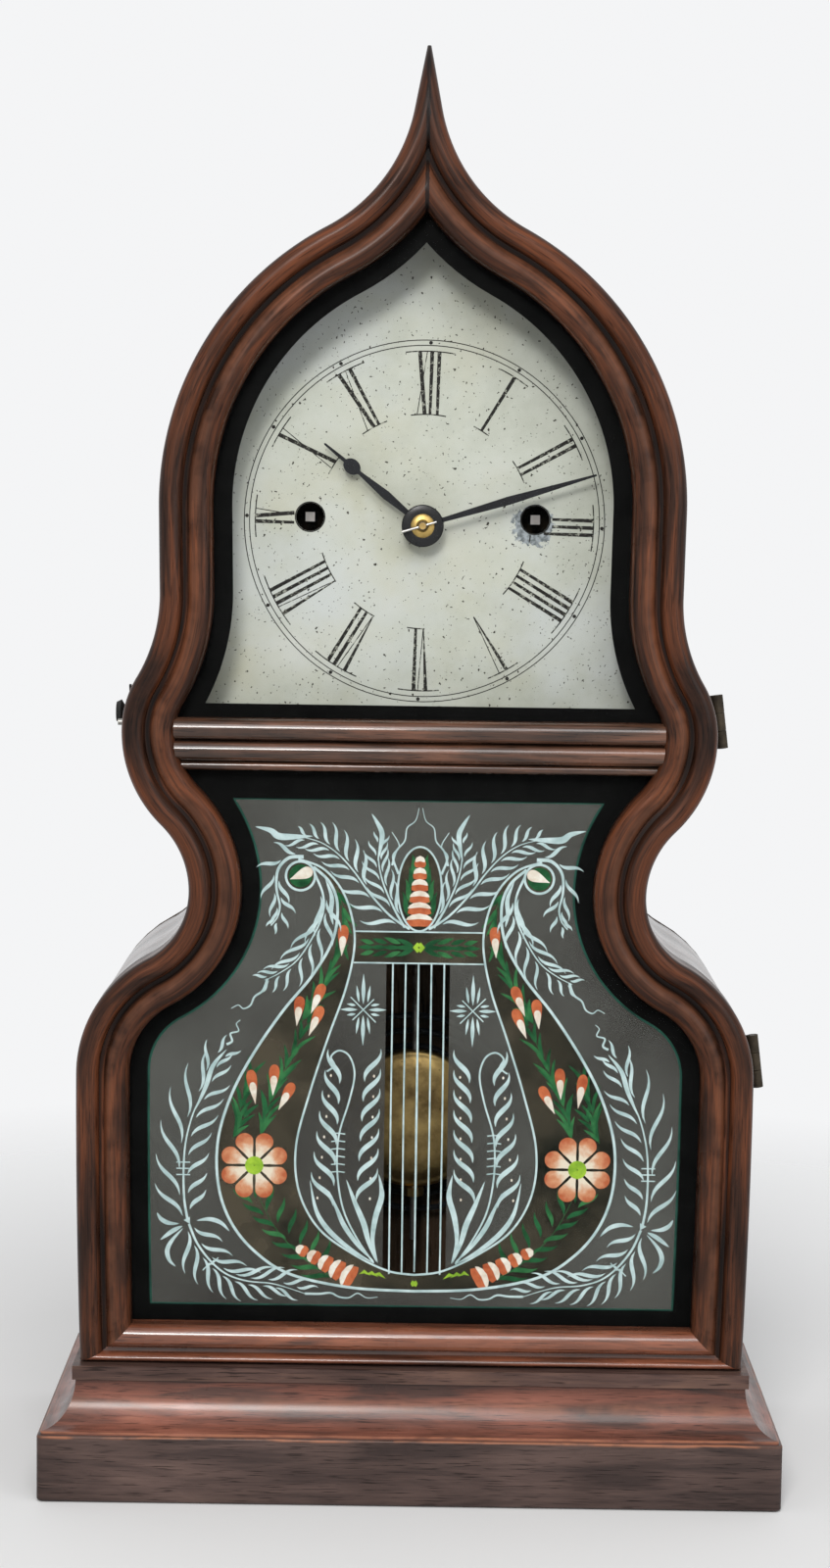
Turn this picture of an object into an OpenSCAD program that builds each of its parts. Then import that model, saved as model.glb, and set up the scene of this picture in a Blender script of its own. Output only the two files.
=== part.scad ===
// Acorn shelf clock: a bent-sided case on a coved base, one full-height door with a clear
// upper glass and a painted lower glass, and an eight-day striking movement behind the dial.
// X runs to the right, Y to the back, Z up. The origin is the middle of the base's underside.

/* [Base] */
// How far the plinth stands out beyond the lower bulge on each side
plinth_out = 11.3; // [9.5:0.1:14]
// Height of the plain plinth
plinth_h = 23; // [20:0.5:30]
// Height of the cove above the plinth
cove_h = 16.4; // [12:0.2:20]
// How far the cove draws in on every side
cove_in = 11.5; // [8:0.5:13]
// Thickness of the plinth and cove stock
plinth_t = 20; // [16:1:24]
// Thickness of the board that the case stands on
top_board_t = 4.8; // [4:0.2:9]
// Thickness of the bottom and back boards of the base
base_board_t = 8; // [5:0.5:12]

/* [Outline of door and case] */
// Half width at the foot of the case
foot_hw = 114.5; // [112:0.5:115.5]
// Half width of the lower bulge
lower_hw = 116.2; // [115.7:0.1:118]
// Height of the lower bulge's widest place
lower_z = 145; // [135:1:155]
// Radius of the lower shoulder
lower_r = 45.4; // [38:0.2:52]
// Half width of the waist
waist_hw = 78; // [74:0.5:82]
// Height of the waist
waist_z = 208.4; // [204:0.2:214]
// Radius of the hollow above the waist
waist_r = 31.8; // [26:0.2:38]
// Half width of the middle bulge
mid_hw = 101.1; // [98:0.1:104]
// Height of the middle bulge's widest place
mid_z = 263.1; // [258:0.1:268]
// Radius of the upper side of the middle bulge
mid_r = 35.9; // [30:0.1:42]
// Half width of the neck below the acorn
neck_hw = 88.4; // [86:0.1:90]
// Height of the neck
neck_z = 309.5; // [304:0.5:314]
// Half width of the acorn
acorn_hw = 88.9; // [88.6:0.1:92]
// Height of the acorn's widest place
acorn_z = 340.3; // [334:0.1:346]
// Radius of the acorn's side
acorn_r = 104.9; // [98:0.1:112]
// How far the acorn's side turns before it hollows, in degrees
acorn_turn = 62; // [58:0.5:65]
// Radius of the hollow below the spire
cap_r = 55.8; // [48:0.2:62]
// Slope of the spire's sides from upright, in degrees
spire_slope = 11; // [9:0.5:13]
// Half width of the spire's tip
spire_tip = 0.66; // [0.5:0.02:1]

/* [Case] */
// Thickness of the laminated case sides
side_t = 7; // [5:0.5:9]
// How far the case stays inside the door's outline
case_inset = 0.5; // [0.3:0.1:1.5]
// Thickness of the backboard
back_t = 6; // [4:0.5:9]
// Distance of the door's front from the plinth's front
door_set = 14; // [10:0.5:18]
// Gap between the door's back and the case
door_gap = 0.4; // [0.3:0.1:0.8]
// Gap under the door
door_foot_gap = 0.4; // [0.3:0.1:1.5]

/* [Door] */
// Thickness of the door at the crown of its outer bead
door_t = 18; // [16:0.5:20]
// Width of the bent door stiles
stile_w = 18; // [16:0.5:20]
// Height of the bottom rail
bottom_rail_h = 12.8; // [12:0.2:14.5]
// Height of the middle rail
mid_rail_h = 18; // [16:0.5:20]
// Height of the middle rail's lower edge
mid_rail_z = 250; // [246:0.5:254]
// Width of the rebate behind the stiles and rails
rebate_w = 5; // [4:0.5:6]
// Depth of the rebate from the back of the door
rebate_d = 8.5; // [7:0.5:10]
// Thickness of the two glasses
glass_t = 2; // [1.5:0.1:3]
// Room round each glass in its rebate
glass_gap = 0.3; // [0.1:0.1:0.5]
// Width of the strips that hold the glasses
strip_w = 4; // [3:0.5:4.5]
// Thickness of the strips that hold the glasses
strip_t = 4; // [3:0.5:4.5]

/* [Hinges and latch] */
// Height of the middle of the upper hinge
hinge_hi_z = 268; // [264:1:272]
// Height of the middle of the lower hinge
hinge_lo_z = 150; // [146:1:153]
// Length of a hinge barrel
hinge_len = 18.4; // [15:0.2:21]
// Radius of a hinge barrel
barrel_r = 1.9; // [1.7:0.1:2.6]
// Radius of a hinge pin
hinge_pin_r = 0.8; // [0.7:0.1:1]
// Thickness of a hinge leaf
leaf_t = 1; // [0.8:0.1:1.4]
// Reach of a hinge leaf from the pin
leaf_w = 9.4; // [8.5:0.1:10]
// Height of the latch knob
latch_z = 268; // [263:1:272]
// Distance of the latch knob behind the case's front edge
latch_back = 8; // [7:0.5:12]
// Radius of the latch knob
latch_knob_r = 4.2; // [3:0.2:5]
// Thickness of the latch knob
latch_knob_t = 2.8; // [2.5:0.1:5]
// Distance from the knob to the stud that the hook catches
latch_reach = 15; // [14:0.5:17]

/* [Dial and hands] */
// Height of the centre of the dial
dial_z = 333.5; // [330:0.5:337]
// Distance of the dial behind the case's front edge
dial_set = 14.6; // [13:0.2:17]
// Thickness of the zinc dial
dial_t = 1; // [0.8:0.1:1.5]
// Height of the dial's lower edge
dial_foot_z = 244; // [240:1:248]
// Sideways distance of each winding hole from the centre
winding_x = 39; // [38:0.5:41]
// Height of the winding holes above the centre
winding_up = 2.5; // [1:0.5:4]
// Radius of a winding hole
winding_hole_r = 4.9; // [4:0.1:5.5]
// Radius of the hole for the hands
hand_hole_r = 4.4; // [4:0.1:6]
// Minute hand's turn from twelve, clockwise in degrees
minute_turn = 73; // [0:1:359]
// Hour hand's turn from twelve, clockwise in degrees
hour_turn = 309; // [0:1:359]
// Length of the minute hand from its centre
minute_len = 62.1; // [55:0.1:64]
// Length of the hour hand from its centre
hour_len = 44.2; // [38:0.2:48]
// Radius of the minute hand's black boss
boss_r = 7.2; // [5:0.1:8]
// Thickness of the hands
hand_t = 0.8; // [0.6:0.1:1.2]

/* [Movement] */
// Width of the movement plates
plate_w = 104; // [100:1:110]
// Distance of the plates' lower edge below the centre
plate_down = 46; // [44:1:50]
// Distance of the plates' shoulder above the centre
plate_up = 48; // [46:1:54]
// Thickness of the plates
plate_t = 1.5; // [1.2:0.1:2]
// Distance between the plates
plate_gap = 30; // [29.5:0.5:34]
// Distance of the front plate behind the dial
motion_gap = 10.5; // [10:0.5:13]
// Running clearance round every arbor
run_gap = 0.05; // [0.03:0.01:0.08]
// Radius of the arbors between the plates
arbor_r = 1.2; // [1:0.1:1.4]
// Radius of the arbors' pivots
pivot_r = 0.8; // [0.6:0.1:0.9]
// Radius of the winding arbors
winding_r = 2.4; // [2.2:0.1:2.8]
// Side of the winding squares
winding_square = 3.2; // [2.6:0.1:3.4]
// Radius of the pillars between the plates
pillar_r = 3; // [2:0.2:4]
// Radius of the posts that carry the movement on the backboard
post_r = 4; // [3:0.2:4.5]
// Tooth size of the going great wheel: its pitch diameter over its teeth
great_tooth = 0.75; // [0.72:0.01:0.78]
// Tooth size of the second wheel
second_tooth = 0.70; // [0.68:0.01:0.72]
// Tooth size of the centre and third wheels
fine_tooth = 0.50; // [0.48:0.01:0.52]
// Tooth size of the striking great wheel
strike_tooth = 0.85; // [0.82:0.01:0.87]
// Tooth size of the pin and warning wheels
light_tooth = 0.60; // [0.58:0.01:0.62]
// Tooth size of the wheels behind the dial
motion_tooth = 0.60; // [0.58:0.01:0.62]
// Outer radius of the mainsprings
spring_r = 17.6; // [15:0.2:18]

/* [Pendulum and gong] */
// Length from the suspension to the middle of the bob
pendulum_len = 275; // [262:1:280]
// Distance of the pendulum behind the back plate
pendulum_back = 8.5; // [8:0.5:10]
// Radius of the bob
bob_r = 26; // [22:0.5:30]
// Thickness of the bob
bob_t = 8; // [6:0.5:9]
// Radius of the pendulum rod
rod_r = 1.2; // [1:0.1:1.5]
// Length of the rod's thread below the bob
rod_tail = 20; // [16:1:24]
// Radius of the gong's outer turn
gong_r = 40; // [34:1:44]
// Radius of the gong's inner turn
gong_in_r = 14; // [13.5:0.5:16]
// Number of turns of the gong
gong_turns = 4.5; // [3:0.5:5]
// Radius of the gong's wire
gong_wire_r = 1.1; // [0.9:0.1:1.3]
// Height of the middle of the gong
gong_z = 112; // [105:1:125]
// Distance of the gong's wire behind the pendulum
gong_back = 10.5; // [9.5:0.1:12]
// Distance of the gong's wire in front of the backboard
gong_out = 7.5; // [6.5:0.5:8]

/* [Hidden] */
$fn = 48;

wood = [0.30, 0.14, 0.09];
wood_red = [0.42, 0.20, 0.12];
pine = [0.62, 0.48, 0.32];
brass = [0.72, 0.58, 0.28];
steel = [0.45, 0.46, 0.48];
blued = [0.10, 0.10, 0.12];

// Heights
cove_z = plinth_h + cove_h;
case_z = cove_z + top_board_t;
door_z = case_z + door_foot_gap;
mid_rail_top = mid_rail_z + mid_rail_h;

// Depth of the base: the sum of what stands one behind the other
base_d = door_set + door_t + door_gap + dial_set + dial_t + motion_gap + 2 * plate_t + plate_gap
    + pendulum_back + gong_back + gong_out + back_t;
base_w = 2 * (lower_hw + plinth_out);

// Planes from front to back
front_y = -base_d / 2;
door_front_y = front_y + door_set;
door_back_y = door_front_y + door_t;
case_front_y = door_back_y + door_gap;
case_back_y = base_d / 2 - back_t;
dial_y = case_front_y + dial_set;
dial_back_y = dial_y + dial_t;
plate_y = dial_back_y + motion_gap;
train_y = plate_y + plate_t;
rear_plate_y = train_y + plate_gap;
rear_y = rear_plate_y + plate_t;
pendulum_y = rear_y + pendulum_back;
gong_y = case_back_y - gong_out;

// Small shares of room that pieces keep from each other
hair = 0.05;
room = 0.3;

// Helpers

// Stands a flat shape drawn in X and Z upright, from y0 back to y1
module slab(y0, y1) {
    translate([0, y1, 0])
        rotate([90, 0, 0])
            linear_extrude(y1 - y0)
                children();
}

// A round bar along Y
module bar(p, r, y0, y1, sides = 48) {
    translate([p[0], y0, p[1]])
        rotate([-90, 0, 0])
            cylinder(h = y1 - y0, r = r, $fn = sides);
}

// A box from one corner to the opposite one
module span(a, b) {
    translate(a)
        cube(b - a);
}

// A place at a distance and an angle from another, both in X and Z
function polar(p, r, a) = [p[0] + r * cos(a), p[1] + r * sin(a)];
function bearing(a, b) = atan2(b[1] - a[1], b[0] - a[0]);

// Outline of the door, one side from the foot to the tip, as [x, z]

arc_steps = 8;

// An S from one upright tangent to another, of two arcs; the first has radius r0
function s_curve(p, q, r0, steps) =
    let (
        side = sign(q[0] - p[0]),
        dx = abs(q[0] - p[0]),
        dz = q[1] - p[1],
        total = (dx * dx + dz * dz) / (2 * dx),
        r1 = total - r0,
        turn = acos((total - dx) / total)
    )
    concat(
        [for (i = [0:steps - 1])
            let (a = turn * i / steps)
            [p[0] + side * r0 * (1 - cos(a)), p[1] + r0 * sin(a)]],
        [for (i = [steps:-1:1])
            let (a = turn * i / steps)
            [q[0] - side * r1 * (1 - cos(a)), q[1] - r1 * sin(a)]]
    );

// The slightly bowed lower side, from the foot to the widest place
bow_r = (pow(lower_z - door_z, 2) + pow(lower_hw - foot_hw, 2)) / (2 * (lower_hw - foot_hw));
bow_steps = 5;
foot_side = [for (i = [0:bow_steps - 1])
    let (z = door_z + (lower_z - door_z) * i / bow_steps)
    [lower_hw - bow_r + sqrt(bow_r * bow_r - pow(lower_z - z, 2)), z]];

// The acorn's side, the hollow above it and the straight spire
acorn_end = [acorn_hw - acorn_r * (1 - cos(acorn_turn)), acorn_z + acorn_r * sin(acorn_turn)];
acorn_side = [for (i = [0:arc_steps * 2 - 1])
    let (a = acorn_turn * i / (arc_steps * 2))
    [acorn_hw - acorn_r * (1 - cos(a)), acorn_z + acorn_r * sin(a)]];
cap_side = [for (i = [0:arc_steps])
    let (a = acorn_turn + (spire_slope - acorn_turn) * i / arc_steps)
    [acorn_end[0] - cap_r * (cos(a) - cos(acorn_turn)),
     acorn_end[1] + cap_r * (sin(acorn_turn) - sin(a))]];
spire_foot = cap_side[arc_steps];
clock_h = spire_foot[1] + (spire_foot[0] - spire_tip) / tan(spire_slope);

half_outline = concat(
    foot_side,
    s_curve([lower_hw, lower_z], [waist_hw, waist_z], lower_r, arc_steps),
    s_curve([waist_hw, waist_z], [mid_hw, mid_z], waist_r, arc_steps),
    s_curve([mid_hw, mid_z], [neck_hw, neck_z], mid_r, arc_steps),
    [[neck_hw, neck_z]],
    acorn_side,
    cap_side,
    [[spire_tip, clock_h]]
);

// Half width of the door at a height
edge_table = [for (p = half_outline) [p[1], p[0]]];
function edge_x(z) = lookup(z, edge_table);

// How far the outline runs on below the case, so that insets keep their full height
run_on = 2 * stile_w;

// The outline drawn in by a distance
module inset(d) {
    offset(delta = -d)
        polygon(concat(
            [[foot_hw, door_z - run_on]],
            half_outline,
            [for (i = [len(half_outline) - 1:-1:0]) [-half_outline[i][0], half_outline[i][1]]],
            [[-foot_hw, door_z - run_on]]
        ));
}

// A solid of the inset outline between two heights
far = 400;
sky = 1000;
module inset_slab(d, y0, y1, z0, z1 = sky) {
    intersection() {
        slab(y0, y1)
            inset(d);
        span([-far, y0 - 1, z0], [far, y1 + 1, z1]);
    }
}

// Base

// Mitres the ends of a front length, or of the side lengths
module front_mitre() {
    slab_h = cove_z + 1;
    linear_extrude(slab_h)
        polygon([[-base_w / 2, front_y], [base_w / 2, front_y],
                 [base_w / 2 - base_d, front_y + base_d], [-base_w / 2 + base_d, front_y + base_d]]);
}

module plinth_front() {
    color(wood)
        intersection() {
            span([-base_w / 2, front_y, 0], [base_w / 2, front_y + plinth_t, plinth_h]);
            front_mitre();
        }
}

module plinth_sides() {
    color(wood)
        for (side = [-1, 1])
            difference() {
                span([side * base_w / 2 - (side > 0 ? plinth_t : 0), front_y, 0],
                     [side * base_w / 2 + (side > 0 ? 0 : plinth_t), base_d / 2, plinth_h]);
                front_mitre();
            }
}

// Section of the cove: x is the distance from the outer edge, y the height over the plinth
cove_steps = 10;
cove_lip = 1.2;
module cove_section() {
    polygon(concat(
        [[plinth_t, 0], [cove_lip / 2, 0], [cove_lip / 2, cove_lip]],
        [for (i = [0:cove_steps])
            let (a = 90 * i / cove_steps)
            [cove_lip + (cove_in - cove_lip) * sin(a), cove_lip + (cove_h - cove_lip) * (1 - cos(a))]],
        [[plinth_t, cove_h]]
    ));
}

module cove_length(length) {
    rotate([90, 0, 90])
        linear_extrude(length)
            cove_section();
}

module cove_front() {
    color(wood_red)
        intersection() {
            translate([-base_w / 2, front_y, plinth_h])
                cove_length(base_w);
            front_mitre();
        }
}

module cove_sides() {
    color(wood_red)
        for (side = [0, 1])
            mirror([side, 0, 0])
                difference() {
                    translate([base_w / 2, front_y, plinth_h])
                        rotate([0, 0, 90])
                            cove_length(base_d);
                    front_mitre();
                }
}

module base_top_board() {
    board_hw = base_w / 2 - cove_in + 0.5;
    board_front = front_y + cove_in - 0.5;
    color(wood)
        span([-board_hw, board_front, cove_z], [board_hw, base_d / 2, case_z]);
}

module base_bottom_board() {
    color(pine)
        span([-base_w / 2 + plinth_t, front_y + plinth_t, 2],
             [base_w / 2 - plinth_t, base_d / 2 - base_board_t, 2 + base_board_t]);
}

module base_back_board() {
    color(pine)
        span([-base_w / 2 + plinth_t, base_d / 2 - base_board_t, 0],
             [base_w / 2 - plinth_t, base_d / 2, cove_z]);
}

// Triangular blocks glued into the base's corners under the top board
module base_glue_blocks() {
    block = 16;
    low = 2 + base_board_t;
    color(pine)
        for (side = [0, 1])
            mirror([side, 0, 0])
                for (k = [0:1])
                    translate([base_w / 2 - plinth_t,
                               k ? base_d / 2 - base_board_t : front_y + plinth_t, low])
                        linear_extrude(cove_z - low)
                            polygon([[0, 0], [-block, 0], [0, k ? -block : block]]);
}

// Case

hinge_clear = 0.4;
hinge_y = (door_back_y + case_front_y) / 2;
function hinge_x(z) = edge_x(z) + barrel_r + hinge_clear;
hinge_tilt = atan((hinge_x(hinge_lo_z) - hinge_x(hinge_hi_z)) / (hinge_hi_z - hinge_lo_z));
// The pin's line between the two hinges
function pin_x(z) =
    hinge_x(hinge_hi_z)
    + (hinge_x(hinge_lo_z) - hinge_x(hinge_hi_z)) * (hinge_hi_z - z) / (hinge_hi_z - hinge_lo_z);

latch_y = case_front_y + latch_back;
latch_shaft_r = 1.2;
latch_face_x = -(mid_hw + room);

module case_side() {
    difference() {
        inset_slab(case_inset, case_front_y, case_back_y, case_z);
        inset_slab(case_inset + side_t, case_front_y - 1, case_back_y + 1, case_z - 1);
        span([-far, case_front_y - 1, case_z - 1], [0, case_back_y + 1, clock_h + 1]);
    }
}

module case_side_left() {
    color(wood)
        difference() {
            mirror([1, 0, 0])
                case_side();
            translate([-far, latch_y, latch_z])
                rotate([0, 90, 0])
                    cylinder(h = far, r = latch_shaft_r + run_gap);
        }
}

module case_side_right() {
    color(wood)
        difference() {
            case_side();
            each_hinge()
                leaf_pocket(0);
            each_hinge()
                case_screw_set(hair);
        }
}

module backboard() {
    color(pine)
        inset_slab(case_inset, case_back_y, case_back_y + back_t, case_z);
}

// Wooden blocks on the inside of the case that carry the dial
block_z = [252, 300, 356, 398];
block_h = 18;
block_w = 11;
block_d = 12;
case_wall = case_inset + side_t;
module dial_blocks() {
    color(pine)
        difference() {
            for (z = block_z)
                intersection() {
                    slab(dial_back_y, dial_back_y + block_d)
                        difference() {
                            inset(case_wall);
                            inset(case_wall + block_w);
                        }
                    span([-far, dial_back_y - 1, z - block_h / 2],
                         [far, dial_back_y + block_d + 1, z + block_h / 2]);
                }
            for (p = dial_screw_places)
                bar(p, dial_screw_r, dial_back_y - 1, dial_back_y + dial_screw_len, 24);
        }
}

// Hinges: the barrel stands outside the joint between door and case, the pin's line leans

module each_hinge() {
    for (z = [hinge_hi_z, hinge_lo_z])
        translate([pin_x(z), hinge_y, z])
            rotate([0, -hinge_tilt, 0])
                children();
}

knuckle_gap = 0.2;
knuckle = (hinge_len - 2 * knuckle_gap) / 3;
leaf_start = barrel_r + 0.4;
// Leaves lie on each side of the joint, back = 0 for the case's and 1 for the door's
leaf_off = 0.08;

module leaf(back) {
    mirror([0, back, 0]) {
        span([-leaf_w, leaf_off, -hinge_len / 2], [-leaf_start, leaf_off + leaf_t, hinge_len / 2]);
        for (k = back ? [0] : [-1, 1])
            span([-leaf_start - 0.1, leaf_off, k * (knuckle + knuckle_gap) - knuckle / 2],
                 [-hinge_pin_r - 0.4, leaf_off + leaf_t, k * (knuckle + knuckle_gap) + knuckle / 2]);
    }
}

module knuckles(back) {
    for (k = back ? [0] : [-1, 1])
        translate([0, 0, k * (knuckle + knuckle_gap) - knuckle / 2])
            cylinder(h = knuckle, r = barrel_r);
}

// The recess that a leaf lies in
module leaf_pocket(back) {
    mirror([0, back, 0])
        span([-leaf_w - hair, -1, -hinge_len / 2 - hair],
             [barrel_r, leaf_off + leaf_t, hinge_len / 2 + hair]);
}

leaf_screw_x = -6.6;
leaf_screw_z = 5.2;
leaf_screw_r = 0.9;
leaf_screw_head_r = 1.7;
leaf_screw_len = 8;
module leaf_screws(back, grow = 0) {
    mirror([0, back, 0])
        for (k = [-1, 1])
            translate([leaf_screw_x, leaf_off, k * leaf_screw_z])
                rotate([-90, 0, 0]) {
                    cylinder(h = leaf_t * 0.8, r1 = leaf_screw_head_r, r2 = leaf_screw_r, $fn = 24);
                    cylinder(h = leaf_screw_len, r = leaf_screw_r, $fn = 24);
                }
}
module case_screw_set(grow) {
    leaf_screws(0, grow);
}

module hinge_case_leaves() {
    color(brass)
        each_hinge()
            difference() {
                union() {
                    leaf(0);
                    knuckles(0);
                }
                cylinder(h = hinge_len * 2, r = hinge_pin_r, center = true);
                leaf_screws(0);
            }
}

module hinge_door_leaves() {
    color(brass)
        each_hinge()
            difference() {
                union() {
                    leaf(1);
                    knuckles(1);
                }
                cylinder(h = hinge_len * 2, r = hinge_pin_r + run_gap, center = true);
                leaf_screws(1);
            }
}

module hinge_pins() {
    color(steel)
        each_hinge()
            cylinder(h = hinge_len, r = hinge_pin_r, center = true);
}

module hinge_case_screws() {
    color(brass)
        each_hinge()
            leaf_screws(0);
}

module hinge_door_screws() {
    color(brass)
        each_hinge()
            leaf_screws(1);
}

// Latch: a knob on the case's left side turns a hook that drops over a stud on the door

hook_t = 0.8;
hook_w = 2.4;
stud_r = 1.1;
// The hook points back at rest, turned by this angle over the top from where it catches
hook_back = 165;

module latch_knob() {
    color(blued)
        translate([latch_face_x, latch_y, latch_z])
            rotate([0, -90, 0]) {
                translate([0, 0, -side_t])
                    cylinder(h = side_t + hook_t + 0.5, r = latch_shaft_r);
                translate([0, 0, hook_t]) {
                    cylinder(h = latch_knob_t * 0.4, r1 = latch_knob_r * 0.55, r2 = latch_knob_r);
                    translate([0, 0, latch_knob_t * 0.4])
                        cylinder(h = latch_knob_t * 0.6, r1 = latch_knob_r, r2 = latch_knob_r * 0.8);
                }
            }
}

// Drawn lying on X and Y with the pivot at the origin and the arm along +X
module hook_flat() {
    finger_r = latch_reach + stud_r + 0.25;
    difference() {
        union() {
            circle(r = hook_w * 1.1);
            translate([0, -hook_w / 2])
                square([finger_r + 1.4, hook_w]);
            intersection() {
                difference() {
                    circle(r = finger_r + 1.4, $fn = 96);
                    circle(r = finger_r, $fn = 96);
                }
                translate([0, -hook_w / 2 - 3])
                    square([finger_r + 3, 3 + hook_w / 2]);
            }
        }
        circle(r = latch_shaft_r);
    }
}

module latch_hook() {
    color(blued)
        translate([latch_face_x, latch_y, latch_z])
            rotate([-hook_back, 0, 0])
                rotate([90, 0, 0])
                    rotate([0, -90, 0])
                        linear_extrude(hook_t)
                            hook_flat();
}

stud_deep = 4;
module latch_stud() {
    stud_y = latch_y - latch_reach;
    stud_z = latch_z - hook_w / 2 - stud_r - 0.1;
    color(steel)
        translate([latch_face_x - hook_t - 0.8, stud_y, stud_z])
            rotate([0, 90, 0])
                cylinder(h = stud_deep + hook_t + 0.8, r = stud_r);
}

// Door

// Shares of the stile's width that the radii of its two beads take; a narrow fillet lies between them
outer_bead_share = 0.222;
inner_bead_share = 0.236;
outer_bead_r = stile_w * outer_bead_share;
inner_bead_r = stile_w * inner_bead_share;
outer_rise = door_t - outer_bead_r;
inner_rise = door_t - 0.1 - inner_bead_r;

// Section of the stile: x runs in from the outer edge, y forwards from the door's back
bead_steps = 6;
function bead(c, r, from, to) = [for (i = [0:bead_steps])
    let (a = from + (to - from) * i / bead_steps)
    [c[0] + r * cos(a), c[1] + r * sin(a)]];
stile_section = concat(
    [[0, 0]],
    bead([outer_bead_r, outer_rise], outer_bead_r, 180, 6),
    bead([stile_w - inner_bead_r, inner_rise], inner_bead_r, 174, 0),
    [[stile_w, rebate_d], [stile_w - rebate_w, rebate_d], [stile_w - rebate_w, 0]]
);

// The bottom rail is the stile's moulding laid on its side with its outer bead squeezed low:
// heights in the rail for distances in from the stile's outer edge
fillet_at = 2 * outer_bead_r + 0.5;
fillet_up = bottom_rail_h * 0.27;
rail_heights = [[0, 0], [fillet_at, fillet_up], [stile_w, bottom_rail_h]];
function rail_up(s) = lookup(s, rail_heights);

// Stations of the sweep: the outline's points with the inward direction at each
stations = len(half_outline);
function inward(i) =
    let (
        a = half_outline[max(i - 1, 0)],
        b = half_outline[min(i + 1, stations - 1)],
        t = (b - a) / norm(b - a)
    )
    [-t[1], t[0]];

// How far the mitre at the foot runs in over the height of the bottom rail
mitre_in = foot_hw - edge_x(door_z + bottom_rail_h) + stile_w;

// The first ring lies on the mitre with the bottom rail, the others square across the stile
function stile_ring(i) = i == 0
    ? [for (s = stile_section)
        [foot_hw - s[0] * mitre_in / stile_w, door_back_y - s[1], door_z + rail_up(s[0])]]
    : let (p = half_outline[i], n = inward(i))
        [for (s = stile_section) [p[0] + n[0] * s[0], door_back_y - s[1], p[1] + n[1] * s[0]]];

module stile_sweep() {
    m = len(stile_section);
    rings = [for (i = [0:stations - 1]) each stile_ring(i)];
    walls = [for (i = [0:stations - 2]) for (j = [0:m - 1])
        let (k = (j + 1) % m)
        each [[i * m + j, (i + 1) * m + j, i * m + k], [i * m + k, (i + 1) * m + j, (i + 1) * m + k]]];
    polyhedron(
        points = rings,
        faces = concat(
            [[for (j = [0:m - 1]) j]],
            walls,
            [[for (j = [m - 1:-1:0]) (stations - 1) * m + j]]
        ),
        convexity = 10
    );
}

module door_stile() {
    intersection() {
        stile_sweep();
        span([0, door_front_y - 1, door_z - 1], [far, door_back_y + 1, clock_h + 1]);
    }
}

module door_stile_left() {
    color(wood)
        difference() {
            mirror([1, 0, 0])
                door_stile();
            latch_stud();
        }
}

module door_stile_right() {
    color(wood)
        difference() {
            door_stile();
            each_hinge()
                leaf_pocket(1);
            each_hinge()
                leaf_screws(1);
        }
}

module door_bottom_rail() {
    color(wood)
        intersection() {
            translate([-foot_hw, door_back_y, door_z])
                rotate([90, 0, 90])
                    linear_extrude(2 * foot_hw)
                        polygon([for (s = stile_section) [-s[1], rail_up(s[0])]]);
            slab(door_front_y - 1, door_back_y + 1)
                polygon(concat(
                    [for (s = rail_heights) [s[0] * mitre_in / stile_w - foot_hw, door_z + s[1]]],
                    [for (i = [len(rail_heights) - 1:-1:0])
                        let (s = rail_heights[i])
                        [foot_hw - s[0] * mitre_in / stile_w, door_z + s[1]]]
                ));
        }
}

// The middle rail has two equal beads and a rebate above and below
module mid_rail_front() {
    r = mid_rail_h / 4 - 0.15;
    rise = door_t - 1.2 - r;
    rotate([90, 0, 90])
        linear_extrude(2 * far)
            polygon(concat(
                [[-rebate_d, 0]],
                [for (s = bead([r + 0.3, rise], r, 180, 14)) [-s[1], s[0]]],
                [for (s = bead([mid_rail_h - r - 0.3, rise], r, 166, 0)) [-s[1], s[0]]],
                [[-rebate_d, mid_rail_h]]
            ));
}

module door_mid_rail() {
    color(wood) {
        intersection() {
            translate([-far, door_back_y, mid_rail_z])
                mid_rail_front();
            inset_slab(stile_w, door_front_y - 1, door_back_y, door_z);
        }
        intersection() {
            span([-far, door_back_y - rebate_d, mid_rail_z + rebate_w],
                 [far, door_back_y, mid_rail_top - rebate_w]);
            inset_slab(stile_w - rebate_w, door_front_y, door_back_y, door_z);
        }
    }
}

glass_y = door_back_y - rebate_d;
glass_inset = stile_w - rebate_w + glass_gap;
upper_z0 = mid_rail_top - rebate_w + glass_gap;
lower_z0 = door_z + rail_up(stile_w - rebate_w) + glass_gap;
lower_z1 = mid_rail_z + rebate_w - glass_gap;

module upper_glass() {
    color([0.8, 0.86, 0.84, 0.35])
        inset_slab(glass_inset, glass_y, glass_y + glass_t, upper_z0);
}

module lower_glass_tablet() {
    color([0.40, 0.43, 0.40, 0.85])
        inset_slab(glass_inset, glass_y, glass_y + glass_t, lower_z0, lower_z1);
}

module glazing_strips() {
    y0 = glass_y + glass_t;
    y1 = y0 + strip_t;
    color(wood)
        for (part = [[upper_z0, sky], [lower_z0, lower_z1]])
            difference() {
                inset_slab(glass_inset, y0, y1, part[0], part[1]);
                inset_slab(glass_inset + strip_w, y0 - 1, y1 + 1, part[0] + strip_w,
                           part[1] - strip_w);
            }
}

// Dial

centre = [0, dial_z];
time_great = centre + [winding_x, winding_up];
strike_great = centre + [-winding_x, winding_up];

dial_edge_gap = 0.8;
dial_inset = case_wall + dial_edge_gap;
dial_screw_r = 1.2;
dial_screw_len = 8;
dial_screw_in = 5;
dial_screw_places = [for (z = block_z) for (side = [-1, 1])
    [side * (edge_x(z) - case_wall - dial_screw_in), z]];

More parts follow.
